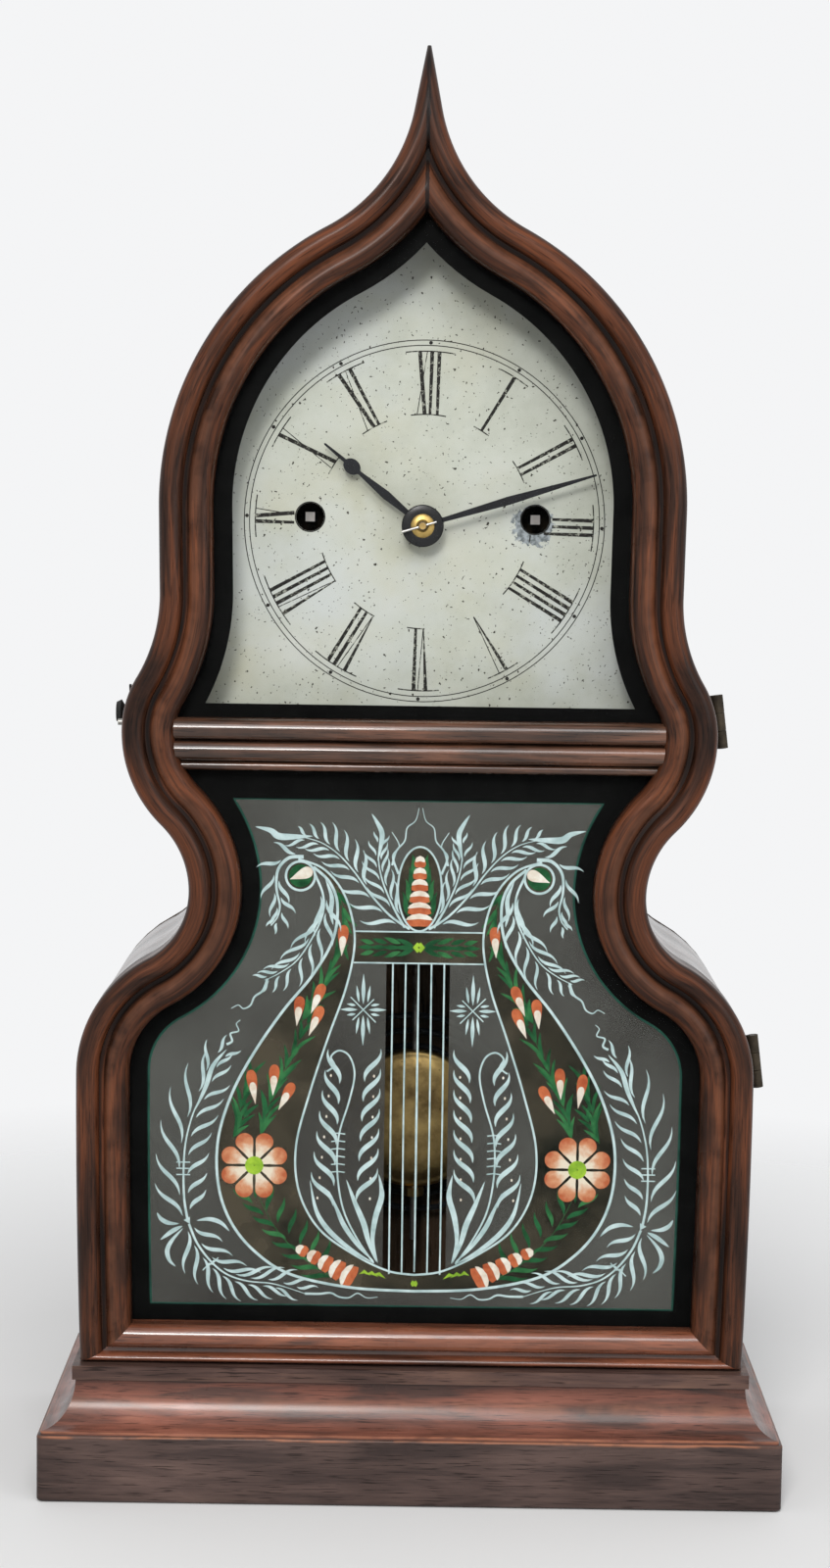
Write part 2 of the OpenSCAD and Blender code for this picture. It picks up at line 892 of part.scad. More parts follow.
module dial_plate() {
    color([0.78, 0.80, 0.74])
        difference() {
            inset_slab(dial_inset, dial_y, dial_back_y, dial_foot_z);
            bar(centre, hand_hole_r, dial_y - 1, dial_back_y + 1);
            for (p = [time_great, strike_great])
                bar(p, winding_hole_r, dial_y - 1, dial_back_y + 1);
            for (p = dial_screw_places)
                bar(p, dial_screw_r, dial_y - 1, dial_back_y + 1, 24);
        }
}

module dial_screws() {
    color(brass)
        for (p = dial_screw_places) {
            bar(p, dial_screw_r, dial_y, dial_back_y + dial_screw_len, 24);
            bar(p, 2.2, dial_y - 0.8, dial_y, 24);
        }
}

// Movement

// Teeth have straight flanks, thin enough to run free of each other
module gear(teeth, module_size, turn, wide = 0.40) {
    r = teeth * module_size / 2;
    tip = r + 0.75 * module_size;
    root = r - 1.15 * module_size;
    step = 360 / teeth;
    polygon([for (i = [0:teeth - 1]) each [
        let (a = turn + i * step - step * (wide / 2 + 0.09)) [root * cos(a), root * sin(a)],
        let (a = turn + i * step - step * (wide / 2 - 0.12)) [tip * cos(a), tip * sin(a)],
        let (a = turn + i * step + step * (wide / 2 - 0.12)) [tip * cos(a), tip * sin(a)],
        let (a = turn + i * step + step * (wide / 2 + 0.09)) [root * cos(a), root * sin(a)]
    ]]);
}

// A wheel at a place, with a tooth towards its mate, and the mate with a gap towards it
module wheel_at(p, mate, teeth, module_size, y0, y1) {
    slab(y0, y1)
        translate(p)
            gear(teeth, module_size, bearing(p, mate));
}
module pinion_at(p, mate, teeth, module_size, y0, y1) {
    slab(y0, y1)
        translate(p)
            gear(teeth, module_size, bearing(p, mate) + 180 / teeth);
}

// Crossings cut into a wheel, between its hub and its rim
module crossings(p, r_in, r_out, y0, y1, arms = 4) {
    slab(y0 - 1, y1 + 1)
        translate(p)
            difference() {
                circle(r = r_out);
                circle(r = r_in);
                for (i = [0:arms - 1])
                    rotate(i * 360 / arms)
                        translate([0, -1.3])
                            square([r_out + 1, 2.6]);
            }
}

leaves = 8;
// The wheel's teeth and the tooth size of each mesh
great_gear = [56, great_tooth];
second_gear = [56, second_tooth];
centre_gear = [78, fine_tooth];
third_gear = [78, fine_tooth];
strike_gear = [48, strike_tooth];
pin_gear = [60, light_tooth];
warning_gear = [48, light_tooth];
function reach(g) = (g[0] + leaves) * g[1] / 2;
function tip_r(g) = g[0] * g[1] / 2 + 0.75 * g[1];
function root_r(g) = g[0] * g[1] / 2 - 1.15 * g[1];

// Places of the arbors
great_line = norm(time_great - centre);
second_swing = acos((pow(reach(second_gear), 2) + pow(great_line, 2) - pow(reach(great_gear), 2))
    / (2 * reach(second_gear) * great_line));
second_place = polar(centre, reach(second_gear), bearing(centre, time_great) - second_swing);
third_place = polar(centre, reach(centre_gear), 60);
escape_place = [0, third_place[1] + sqrt(pow(reach(third_gear), 2) - pow(third_place[0], 2))];
pin_place = polar(strike_great, reach(strike_gear), -45);
warning_place = polar(pin_place, reach(pin_gear), -30);
fly_place = polar(warning_place, reach(warning_gear), -60);
// Place of the hammer's arbor beside and below the centre
hammer_out = 44;
hammer_down = 30;
hammer_place = centre + [-hammer_out, -hammer_down];
escape_r = 13.6;
verge_place = escape_place + [0, 17.8];
suspension_z = verge_place[1];

// Levels behind the front plate, as [near, far]
third_level = [1.0, 2.2];
centre_level = [3.4, 4.6];
spring_level = [6, 18];
ratchet_level = [18.4, 19.4];
great_level = [20, 22];
second_level = [24, 25.5];
escape_level = [26.4, 27.6];
warning_level = [8, 9.2];
count_level = [26.6, 27.6];
function at(level) = [train_y + level[0], train_y + level[1]];

module wheel(p, mate, g, level, arms = 4) {
    y = at(level);
    difference() {
        wheel_at(p, mate, g[0], g[1], y[0], y[1]);
        crossings(p, 4.6, root_r(g) - 2, y[0], y[1], arms);
    }
}

module leaf_pinion(p, mate, g, level) {
    y = at(level);
    pinion_at(p, mate, leaves, g[1], y[0] - 0.6, y[1] + 0.6);
}

// An arbor between the plates with a pivot in each
module arbor(p) {
    bar(p, arbor_r, train_y + 0.2, rear_plate_y - 0.2, 32);
    bar(p, pivot_r, plate_y, rear_y, 32);
}

module pivot_holes(y0, y1) {
    for (p = [second_place, third_place, escape_place, pin_place, warning_place, fly_place])
        bar(p, pivot_r + run_gap, y0 - 1, y1 + 1, 32);
}

pillar_places = [for (x = [-1, 1]) for (z = [4 - plate_down, plate_up - 5])
    centre + [x * (plate_w / 2 - 5), z]];
post_places = [for (x = [-1, 1]) for (z = [4 - plate_down, plate_up - 5])
    centre + [x * (plate_w / 2 - 15), z]];
pillar_end_r = 1.6;

plate_neck_w = 30;
plate_neck_over = 10;
plate_window = [24, 12];
plate_window_x = 30;
plate_window_drop = 14;
module plate_outline() {
    difference() {
        union() {
            translate(centre + [-plate_w / 2, -plate_down])
                square([plate_w, plate_down + plate_up]);
            translate([-plate_neck_w / 2, centre[1]])
                square([plate_neck_w, suspension_z + plate_neck_over - centre[1]]);
        }
        for (side = [-1, 1])
            translate(centre + [side * plate_window_x, plate_up - plate_window_drop])
                square(plate_window, center = true);
    }
}

minute_stud_r = 1.3;
cannon_leaves = 12;
minute_teeth = 36;
minute_leaves = 10;
hour_teeth = 40;
motion_reach = (cannon_leaves + minute_teeth) * motion_tooth / 2;
hour_size = 2 * motion_reach / (minute_leaves + hour_teeth);
minute_place = polar(centre, motion_reach, -130);
minute_level = [plate_y - 3.1, plate_y - 1.9];
hour_level = [plate_y - 6.2, plate_y - 5];

module movement_front_plate() {
    color(brass) {
        difference() {
            slab(plate_y, train_y)
                plate_outline();
            pivot_holes(plate_y, train_y);
            bar(centre, arbor_r + run_gap, plate_y - 1, train_y + 1);
            bar(verge_place, pivot_r + run_gap, plate_y - 1, train_y + 1, 32);
            bar(hammer_place, pivot_r + run_gap, plate_y - 1, train_y + 1, 32);
            for (p = [time_great, strike_great])
                bar(p, winding_r + run_gap, plate_y - 1, train_y + 1);
            for (p = pillar_places)
                bar(p, pillar_end_r, plate_y - 1, train_y + 1, 32);
        }
        bar(minute_place, minute_stud_r, hour_level[0] - 0.6, plate_y + 0.5, 32);
    }
}

module movement_back_plate() {
    color(brass)
        difference() {
            slab(rear_plate_y, rear_y)
                plate_outline();
            pivot_holes(rear_plate_y, rear_y);
            bar(centre, pivot_r + run_gap, rear_plate_y - 1, rear_y + 1, 32);
            bar(verge_place, arbor_r + run_gap, rear_plate_y - 1, rear_y + 1);
            bar(hammer_place, arbor_r + run_gap, rear_plate_y - 1, rear_y + 1);
            for (p = [time_great, strike_great])
                bar(p, pivot_r + run_gap, rear_plate_y - 1, rear_y + 1, 32);
            for (p = pillar_places)
                bar(p, pillar_end_r, rear_plate_y - 1, rear_y + 1, 32);
        }
}

module movement_pillars() {
    color(steel)
        for (p = pillar_places) {
            bar(p, pillar_r, train_y, rear_plate_y, 32);
            bar(p, pillar_end_r, plate_y - 1.2, rear_y + 1.2, 32);
        }
}

module movement_posts() {
    color(pine)
        for (p = post_places) {
            bar(p, post_r, rear_y, case_back_y, 32);
            bar(p, post_r + 2, case_back_y - 2, case_back_y, 32);
        }
}

// Mainsprings: flat coils round the winding arbors
spring_turns = 6;
spring_thick = 0.8;
spring_in_r = 4.2;
module spring_flat() {
    steps = spring_turns * 20;
    function spring_at(i, off) =
        let (r = spring_in_r + (spring_r - spring_in_r) * i / steps + off, a = i * 18)
        [r * cos(a), r * sin(a)];
    polygon(concat(
        [for (i = [0:steps]) spring_at(i, -spring_thick / 2)],
        [for (i = [steps:-1:0]) spring_at(i, spring_thick / 2)]
    ));
}

module mainsprings() {
    y = at(spring_level);
    color(steel)
        for (p = [time_great, strike_great])
            slab(y[0], y[1])
                translate(p)
                    spring_flat();
}

// Winding arbors: square in front of the dial's holes, a ratchet in front of the great wheel
ratchet_teeth = 16;
ratchet_r = 7;
square_end = dial_back_y - 0.5;
module winding_arbor(p) {
    y = at(ratchet_level);
    bar(p, winding_r, plate_y - 2, train_y + great_level[1] + 0.5);
    bar(p, pivot_r, train_y, rear_y, 32);
    translate([p[0] - winding_square / 2, square_end, p[1] - winding_square / 2])
        cube([winding_square, plate_y - 1.5 - square_end, winding_square]);
    slab(y[0], y[1])
        translate(p)
            polygon([for (i = [0:ratchet_teeth - 1]) each [
                let (a = i * 360 / ratchet_teeth) [ratchet_r * cos(a), ratchet_r * sin(a)],
                let (a = (i + 0.1) * 360 / ratchet_teeth)
                    [(ratchet_r - 1) * cos(a), (ratchet_r - 1) * sin(a)]
            ]]);
}

// The click sits on the great wheel, just clear of the ratchet's teeth
module click(p) {
    y = at([ratchet_level[0], great_level[0] + 0.2]);
    slab(y[0], y[1])
        translate(p)
            translate([ratchet_r + 0.4, -1.5])
                square([4.5, 6]);
}

module great_wheel(p, mate, g) {
    y = at(great_level);
    difference() {
        union() {
            wheel(p, mate, g, great_level, 6);
            click(p);
            slab(y[0], y[1])
                translate(p)
                    difference() {
                        circle(r = ratchet_r + 6);
                        circle(r = ratchet_r - 3);
                    }
        }
        bar(p, winding_r + run_gap, y[0] - 5, y[1] + 5);
    }
}

module time_winding_arbor() {
    color(steel)
        winding_arbor(time_great);
}

module strike_winding_arbor() {
    color(steel)
        winding_arbor(strike_great);
}

module time_great_wheel() {
    color(brass)
        great_wheel(time_great, second_place, great_gear);
}

// The count wheel rides on the strike great wheel: one turn gives the twelve hours' blows
count_r = 15;
module strike_great_wheel() {
    y = at(count_level);
    g = at(great_level);
    color(brass)
        difference() {
            union() {
                great_wheel(strike_great, pin_place, strike_gear);
                bar(strike_great, 4.4, g[1] - 0.5, y[1]);
                slab(y[0], y[1])
                    translate(strike_great)
                        difference() {
                            circle(r = count_r);
                            for (k = [1:11])
                                rotate(360 * (k * (k + 1) / 2) / 78)
                                    translate([count_r - 2, -0.6])
                                        square([4, 1.2]);
                        }
            }
            bar(strike_great, winding_r + run_gap, g[0] - 5, y[1] + 5);
        }
}

module second_wheel() {
    color(brass) {
        wheel(second_place, centre, second_gear, second_level);
        leaf_pinion(second_place, time_great, great_gear, great_level);
        arbor(second_place);
        hub(second_place, second_level);
    }
}

// A hub that joins a wheel to its arbor
module hub(p, level) {
    y = at(level);
    bar(p, 3.2, y[0] - 0.5, y[1] + 0.5, 32);
}

// The centre arbor runs on through the dial and carries the hands by friction
arbor_end_y = dial_y - 11.6;
module centre_wheel() {
    color(brass)
        difference() {
            union() {
                wheel(centre, third_place, centre_gear, centre_level);
                hub(centre, centre_level);
                leaf_pinion(centre, second_place, second_gear, second_level);
                bar(centre, arbor_r, arbor_end_y, rear_plate_y - 0.2);
                bar(centre, pivot_r, rear_plate_y - 1, rear_y, 32);
            }
            hand_taper_pin();
        }
}

module third_wheel() {
    color(brass) {
        wheel(third_place, escape_place, third_gear, third_level);
        hub(third_place, [third_level[0] + 0.3, third_level[1]]);
        leaf_pinion(third_place, centre, centre_gear, centre_level);
        arbor(third_place);
    }
}

escape_teeth = 36;
module escape_wheel() {
    y = at(escape_level);
    step = 360 / escape_teeth;
    color(brass) {
        difference() {
            slab(y[0], y[1])
                translate(escape_place)
                    polygon([for (i = [0:escape_teeth - 1]) each [
                        let (a = i * step) [escape_r * cos(a), escape_r * sin(a)],
                        let (a = (i + 0.12) * step) [escape_r * cos(a), escape_r * sin(a)],
                        let (a = (i + 0.55) * step)
                            [(escape_r - 1.9) * cos(a), (escape_r - 1.9) * sin(a)]
                    ]]);
            crossings(escape_place, 4.2, escape_r - 4, y[0], y[1], 4);
        }
        bar(escape_place, 2.6, y[0] - 1.5, y[1], 32);
        leaf_pinion(escape_place, third_place, third_gear, third_level);
        arbor(escape_place);
    }
}

// Verge: a bent strip over the escape wheel, on an arbor whose rear end carries the crutch
pallet_gap = 1.7;
pallet_span = 24;
pallet_low = 9;
crutch_len = 42;
crutch_t = 1.4;
crutch_y = rear_y + 2;
module verge_and_crutch() {
    y = at(escape_level);
    color(steel) {
        slab(y[0], y[1])
            intersection() {
                translate(escape_place)
                    difference() {
                        circle(r = escape_r + pallet_gap + 1.3, $fn = 72);
                        circle(r = escape_r + pallet_gap, $fn = 72);
                    }
                translate(escape_place + [-pallet_span / 2, pallet_low])
                    square([pallet_span, escape_r]);
            }
        bar(verge_place, 2.4, y[0], y[1], 32);
        bar(verge_place, arbor_r, train_y + 0.2, crutch_y + crutch_t, 32);
        bar(verge_place, pivot_r, plate_y, train_y + 1, 32);
        bar(verge_place, 2.4, crutch_y, crutch_y + crutch_t, 32);
        span([-1, crutch_y, suspension_z - crutch_len], [1, crutch_y + crutch_t, suspension_z]);
        span([-rod_r - 2.2, crutch_y, suspension_z - crutch_len - 2],
             [rod_r + 2.2, crutch_y + crutch_t, suspension_z - crutch_len + 1]);
        for (side = [0, 1])
            mirror([side, 0, 0])
                span([rod_r + 0.3, crutch_y, suspension_z - crutch_len - 2],
                     [rod_r + 2.2, pendulum_y + rod_r + 1, suspension_z - crutch_len + 1]);
    }
}

// Motion work between the dial and the front plate
tube_r = 2.2;
pipe_r = 3.1;
hour_hand_y = dial_y - 4.4;
minute_hand_y = dial_y - 7.4;
boss_t = 2.4;

module cannon_pinion() {
    color(brass)
        difference() {
            union() {
                slab(minute_level[0] - 0.6, minute_level[1] + 0.6)
                    translate(centre)
                        gear(cannon_leaves, motion_tooth, bearing(centre, minute_place));
                bar(centre, tube_r, minute_hand_y + boss_t / 2, minute_level[0]);
            }
            bar(centre, arbor_r + run_gap, arbor_end_y, plate_y + 1);
        }
}

module minute_wheel() {
    color(brass)
        difference() {
            union() {
                slab(minute_level[0], minute_level[1])
                    translate(minute_place)
                        gear(minute_teeth, motion_tooth,
                             bearing(minute_place, centre) + 180 / minute_teeth);
                slab(hour_level[0] - 0.4, minute_level[0] + 0.2)
                    translate(minute_place)
                        gear(minute_leaves, hour_size, bearing(minute_place, centre));
            }
            bar(minute_place, minute_stud_r + run_gap, hour_level[0] - 3, plate_y + 1, 32);
        }
}

module hour_wheel() {
    color(brass)
        difference() {
            union() {
                slab(hour_level[0], hour_level[1])
                    translate(centre)
                        gear(hour_teeth, hour_size,
                             bearing(centre, minute_place) + 180 / hour_teeth);
                bar(centre, pipe_r, hour_hand_y, hour_level[1]);
            }
            bar(centre, tube_r + run_gap, hour_hand_y - 1, hour_level[1] + 1);
        }
}

// Strike train
pin_count = 13;
pin_circle_r = 16.2;
pin_r = 0.6;
module pin_wheel() {
    y = at(second_level);
    color(brass) {
        wheel(pin_place, warning_place, pin_gear, second_level);
        hub(pin_place, second_level);
        leaf_pinion(pin_place, strike_great, strike_gear, great_level);
        arbor(pin_place);
        for (i = [0:pin_count - 1])
            bar(polar(pin_place, pin_circle_r, i * 360 / pin_count), pin_r, y[0] - 1.4, y[1], 16);
    }
}

module warning_wheel() {
    color(brass) {
        wheel(warning_place, fly_place, warning_gear, warning_level);
        hub(warning_place, warning_level);
        leaf_pinion(warning_place, pin_place, pin_gear, second_level);
        arbor(warning_place);
    }
}

fly_r = 9.6;
fly_t = 0.6;
fly_hub_r = 2.2;
fly_level = [12, 23];
module strike_fly() {
    y = at(fly_level);
    color(brass) {
        leaf_pinion(fly_place, warning_place, warning_gear, warning_level);
        arbor(fly_place);
        span([fly_place[0] - fly_r, y[0], fly_place[1] - fly_t / 2],
             [fly_place[0] + fly_r, y[1], fly_place[1] + fly_t / 2]);
        bar(fly_place, fly_hub_r, y[0], y[1], 32);
    }
}

// Hammer: a tail by the pins, and a long wire down to the gong's left side
hammer_head_r = 3.4;
hammer_head_len = 8;
hammer_rest = 1.5;
head_x = -(gong_r + gong_wire_r + hammer_rest + hammer_head_len / 2);
module strike_hammer() {
    tail_y = at([22.6, 23.4]);
    tail = norm(pin_place - hammer_place) - pin_circle_r - pin_r - 0.5;
    drop = [head_x - hammer_place[0], gong_z - hammer_place[1]];
    color(steel) {
        bar(hammer_place, arbor_r, train_y + 0.2, gong_y + 1.2, 32);
        bar(hammer_place, pivot_r, plate_y, train_y + 1, 32);
        slab(tail_y[0], tail_y[1])
            translate(hammer_place)
                rotate(bearing(hammer_place, pin_place))
                    translate([0, -0.8])
                        square([tail, 1.6]);
        translate([hammer_place[0], gong_y, hammer_place[1]])
            rotate([0, atan2(drop[0], drop[1]), 0])
                cylinder(h = norm(drop), r = 0.9, $fn = 24);
        translate([head_x - hammer_head_len / 2, gong_y, gong_z])
            rotate([0, 90, 0])
                cylinder(h = hammer_head_len, r = hammer_head_r, $fn = 32);
    }
}

// Pendulum

// Cock: an arm from the rear plate with a jaw over the spring's upper end
cock_hw = 5;
cock_arm_z = 4;
cock_top_z = 9;
jaw_reach = 3.4;
module suspension_cock() {
    color(brass) {
        span([-cock_hw, rear_y, suspension_z + cock_arm_z],
             [cock_hw, pendulum_y + jaw_reach, suspension_z + cock_top_z]);
        span([-cock_hw, pendulum_y - jaw_reach, suspension_z + hair],
             [cock_hw, pendulum_y + jaw_reach, suspension_z + cock_arm_z]);
    }
}

spring_drop = 16;
bob_z = suspension_z - pendulum_len;
nut_t = 3;
module pendulum_rod() {
    color(steel) {
        span([-0.15, pendulum_y - 2.4, suspension_z - spring_drop],
             [0.15, pendulum_y + 2.4, suspension_z]);
        translate([0, pendulum_y, bob_z - bob_r - rod_tail])
            cylinder(h = suspension_z - spring_drop + 4 - (bob_z - bob_r - rod_tail), r = rod_r,
                     $fn = 32);
    }
}

bob_edge = 1.6;
module pendulum_bob() {
    steps = 5;
    sag = (bob_t - bob_edge) / 2;
    face_r = (bob_r * bob_r + sag * sag) / (2 * sag);
    half = [for (i = [0:steps])
        let (r = bob_r * i / steps)
        [r, bob_t / 2 - face_r + sqrt(face_r * face_r - r * r)]];
    color(brass)
        difference() {
            translate([0, pendulum_y, bob_z])
                rotate([90, 0, 0])
                    rotate_extrude($fn = 72)
                        polygon(concat(half, [for (i = [steps:-1:0]) [half[i][0], -half[i][1]]]));
            translate([0, pendulum_y, bob_z - bob_r - 1])
                cylinder(h = 2 * bob_r + 2, r = rod_r + run_gap, $fn = 32);
        }
}

module rating_nut() {
    color(brass)
        translate([0, pendulum_y, bob_z - bob_r - nut_t - hair])
            difference() {
                cylinder(h = nut_t, r = 4, $fn = 12);
                translate([0, 0, -1])
                    cylinder(h = nut_t + 2, r = rod_r + run_gap, $fn = 32);
            }
}

// Gong: a flat spiral of blued wire whose inner end runs straight into its block

gong_sides = 6;
gong_steps = 24;
gong_pitch = (gong_r - gong_in_r) / gong_turns;
gong_count = gong_turns * gong_steps;
gong_lead = 2.4;
function gong_point(i) =
    let (a = i * 360 / gong_steps, r = gong_in_r + gong_pitch * i / gong_steps)
    [r * cos(a), r * sin(a)];
gong_path = concat(
    [[gong_in_r, -gong_lead - 2.2], [gong_in_r, -gong_lead]],
    [for (i = [0:gong_count]) gong_point(i)]
);
echo(gong_least_gap = gong_pitch - 2 * gong_wire_r);

module gong_coil() {
    n = len(gong_path);
    rings = [for (i = [0:n - 1])
        let (
            t0 = gong_path[min(i + 1, n - 1)] - gong_path[max(i - 1, 0)],
            t = t0 / norm(t0)
        )
        for (j = [0:gong_sides - 1])
            let (a = 360 * j / gong_sides, s = gong_wire_r * cos(a))
            [gong_path[i][0] - t[1] * s, gong_y + gong_wire_r * sin(a),
             gong_z + gong_path[i][1] + t[0] * s]];
    color(blued)
        polyhedron(
            points = rings,
            faces = concat(
                [[for (j = [0:gong_sides - 1]) j]],
                [for (i = [0:n - 2]) for (j = [0:gong_sides - 1])
                    let (k = (j + 1) % gong_sides, p = i * gong_sides, q = p + gong_sides)
                    each [[p + j, q + j, p + k], [p + k, q + j, q + k]]],
                [[for (j = [gong_sides - 1:-1:0]) (n - 1) * gong_sides + j]]
            ),
            convexity = 12
        );
}

module gong_block() {
    top = gong_z - gong_lead - 2.2;
    color(blued) {
        span([gong_in_r - 6, gong_y - gong_wire_r - 0.8, top - 2.4],
             [gong_in_r + gong_wire_r + 0.4, case_back_y, top]);
        bar([0, gong_z], gong_in_r - gong_wire_r - 0.6, gong_y + gong_wire_r + 1.6, case_back_y);
    }
}

// Hands

// A blade along +Y through the given widths, each as [distance from the centre, width]
module hand_blade(widths) {
    polygon(concat(
        [for (w = widths) [w[1] / 2, w[0]]],
        [for (i = [len(widths) - 1:-1:0]) [-widths[i][1] / 2, widths[i][0]]]
    ));
}

// A disc whose front edge is turned down to the given rise; its front is at y0
module turned_disc(p, r, y0, y1, turned) {
    translate([p[0], y1, p[1]])
        rotate([90, 0, 0])
            rotate_extrude()
                polygon([[0, 0], [r, 0], [r, y1 - y0 - turned * 1.4], [r - turned, y1 - y0 - turned * 0.4],
                         [r - turned * 2.5, y1 - y0], [0, y1 - y0]]);
}

minute_root_w = 1.4;
minute_broad_w = 2;
minute_tip_w = 0.6;
module minute_hand() {
    y = minute_hand_y;
    color(blued)
        difference() {
            union() {
                slab(y, y + hand_t)
                    translate(centre)
                        rotate(-minute_turn)
                            hand_blade([[0, minute_root_w], [minute_len * 0.36, minute_broad_w],
                                        [minute_len, minute_tip_w]]);
                turned_disc(centre, boss_r, y - boss_t / 2, y + boss_t / 2, 0.8);
            }
            bar(centre, arbor_r + run_gap, y - boss_t, y + boss_t);
        }
}

hour_root_w = 1.4;
hour_broad_w = 2.3;
hour_neck_w = 1.1;
hour_tip_w = 0.8;
bulge_back = 12.5;
bulge_w = 4.6;
bulge_len = 5.4;
hour_hub_wall = 1.6;
module hour_hand() {
    y = hour_hand_y;
    color(blued)
        difference() {
            union() {
                slab(y, y + hand_t)
                    translate(centre)
                        rotate(-hour_turn) {
                            hand_blade([[0, hour_root_w], [hour_len * 0.27, hour_broad_w],
                                        [hour_len - bulge_back, hour_neck_w], [hour_len, hour_tip_w]]);
                            translate([0, hour_len - bulge_back])
                                scale([bulge_w / bulge_len, 1])
                                    circle(d = bulge_len, $fn = 32);
                        }
                bar(centre, pipe_r + hour_hub_wall, y, y + 2 * hand_t);
            }
            bar(centre, pipe_r, y - hand_t, y + 3 * hand_t);
        }
}

washer_r = 4.2;
washer_t = 1.1;
washer_y = minute_hand_y - boss_t / 2 - washer_t;
module hand_washer() {
    color(brass)
        difference() {
            turned_disc(centre, washer_r, washer_y, washer_y + washer_t, 0.4);
            bar(centre, arbor_r + run_gap, washer_y - washer_t, washer_y + 2 * washer_t);
        }
}

taper_len = 12.4;
taper_r = 0.5;
taper_lean = 17;
module hand_taper_pin() {
    color(steel)
        translate([centre[0], washer_y - taper_r - 0.1, centre[1]])
            rotate([0, 90 - taper_lean, 0])
                translate([0, 0, -taper_len * 0.6])
                    cylinder(h = taper_len, r1 = taper_r, r2 = taper_r * 0.7, $fn = 24);
}

// Axes of the moving pieces
echo(hinge_at = [pin_x(hinge_hi_z), hinge_y, hinge_hi_z], hinge_tilt = hinge_tilt);
echo(latch_at = [latch_face_x, latch_y, latch_z], suspension_z = suspension_z, bob_z = bob_z);
echo(great = time_great, second = second_place, third = third_place, escape = escape_place,
     minute = minute_place, strike_great = strike_great, pin = pin_place,
     warning = warning_place, fly = fly_place, hammer = hammer_place);
echo(pendulum_y = pendulum_y, gong_y = gong_y, plate_y = plate_y, rear_y = rear_y, dial_y = dial_y);

plinth_front();
plinth_sides();
cove_front();
cove_sides();
base_top_board();
base_bottom_board();
base_back_board();
base_glue_blocks();
case_side_left();
case_side_right();
backboard();
dial_blocks();
dial_plate();
dial_screws();
door_stile_left();
door_stile_right();
door_mid_rail();
door_bottom_rail();
upper_glass();
lower_glass_tablet();
glazing_strips();
hinge_case_leaves();
hinge_door_leaves();
hinge_pins();
hinge_case_screws();
hinge_door_screws();
latch_knob();
latch_hook();
latch_stud();
movement_front_plate();
movement_back_plate();
movement_pillars();
movement_posts();
mainsprings();
suspension_cock();
time_winding_arbor();
time_great_wheel();
second_wheel();
centre_wheel();
third_wheel();
escape_wheel();
verge_and_crutch();
cannon_pinion();
minute_wheel();
hour_wheel();
strike_winding_arbor();
strike_great_wheel();
pin_wheel();
warning_wheel();
strike_fly();
strike_hammer();
pendulum_rod();
pendulum_bob();
rating_nut();
gong_coil();
gong_block();
minute_hand();
hour_hand();
hand_washer();
hand_taper_pin();
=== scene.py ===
# %% [markdown]
# # An acorn shelf clock
#
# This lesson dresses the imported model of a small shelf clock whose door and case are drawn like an
# acorn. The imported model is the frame: its pieces keep their sizes and places, and each step here
# adds one surface or one detail, such as the bent mouldings, the painted tablet or the figures of
# the dial.

import math
import random

import bmesh
import bpy
from mathutils import Matrix, Vector


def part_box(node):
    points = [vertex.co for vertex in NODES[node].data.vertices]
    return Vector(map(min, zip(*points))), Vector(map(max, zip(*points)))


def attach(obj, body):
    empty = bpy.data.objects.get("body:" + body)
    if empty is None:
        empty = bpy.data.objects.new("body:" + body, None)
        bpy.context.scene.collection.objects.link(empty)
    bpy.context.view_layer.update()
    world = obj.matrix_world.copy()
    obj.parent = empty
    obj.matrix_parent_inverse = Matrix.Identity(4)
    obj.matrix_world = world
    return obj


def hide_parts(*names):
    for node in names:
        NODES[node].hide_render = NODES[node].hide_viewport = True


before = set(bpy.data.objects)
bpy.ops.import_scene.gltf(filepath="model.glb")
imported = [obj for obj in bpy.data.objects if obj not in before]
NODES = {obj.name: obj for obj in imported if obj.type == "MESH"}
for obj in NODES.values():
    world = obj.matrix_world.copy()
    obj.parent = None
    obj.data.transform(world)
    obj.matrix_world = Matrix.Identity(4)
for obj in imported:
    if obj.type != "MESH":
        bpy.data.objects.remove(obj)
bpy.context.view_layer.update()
MM = 0.001


def box_mm(node):
    """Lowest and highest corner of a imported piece, in millimetres."""
    low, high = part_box(node)
    return [v / MM for v in low], [v / MM for v in high]


print("packed pieces:", len(NODES))

# %% [markdown]
# ## Camera
#
# The picture was taken from a metre away, at the height of the dial, looking down a little and with
# a slight roll. Building the camera's three directions from those angles keeps each one easy to
# correct.

# %% Camera
CAMERA_PLACE = (-0.5, -1037.3, 345.8)
YAW, PITCH, ROLL = (math.radians(a) for a in (-0.049, 5.714, 0.816))
LENS, SENSOR = 67.5, 36.0
NEAREST, FARTHEST = 0.05, 20.0

forward = Vector((math.sin(YAW) * math.cos(PITCH), math.cos(YAW) * math.cos(PITCH),
                  -math.sin(PITCH)))
level = Vector((math.cos(YAW), -math.sin(YAW), 0))
upright = level.cross(forward)
right = level * math.cos(ROLL) + upright * math.sin(ROLL)
up = upright * math.cos(ROLL) - level * math.sin(ROLL)

camera_data = bpy.data.cameras.new("camera")
camera_data.lens = LENS
camera_data.sensor_width = SENSOR
camera_data.clip_start = NEAREST
camera_data.clip_end = FARTHEST
camera = bpy.data.objects.new("camera", camera_data)
bpy.context.scene.collection.objects.link(camera)
turn = Matrix((right, up, -forward)).transposed()
camera.matrix_world = Matrix.Translation(Vector(CAMERA_PLACE) * MM) @ turn.to_4x4()
bpy.context.scene.camera = camera
print("camera:", round(-CAMERA_PLACE[1] * MM, 2), "m in front of the middle, lens", LENS)

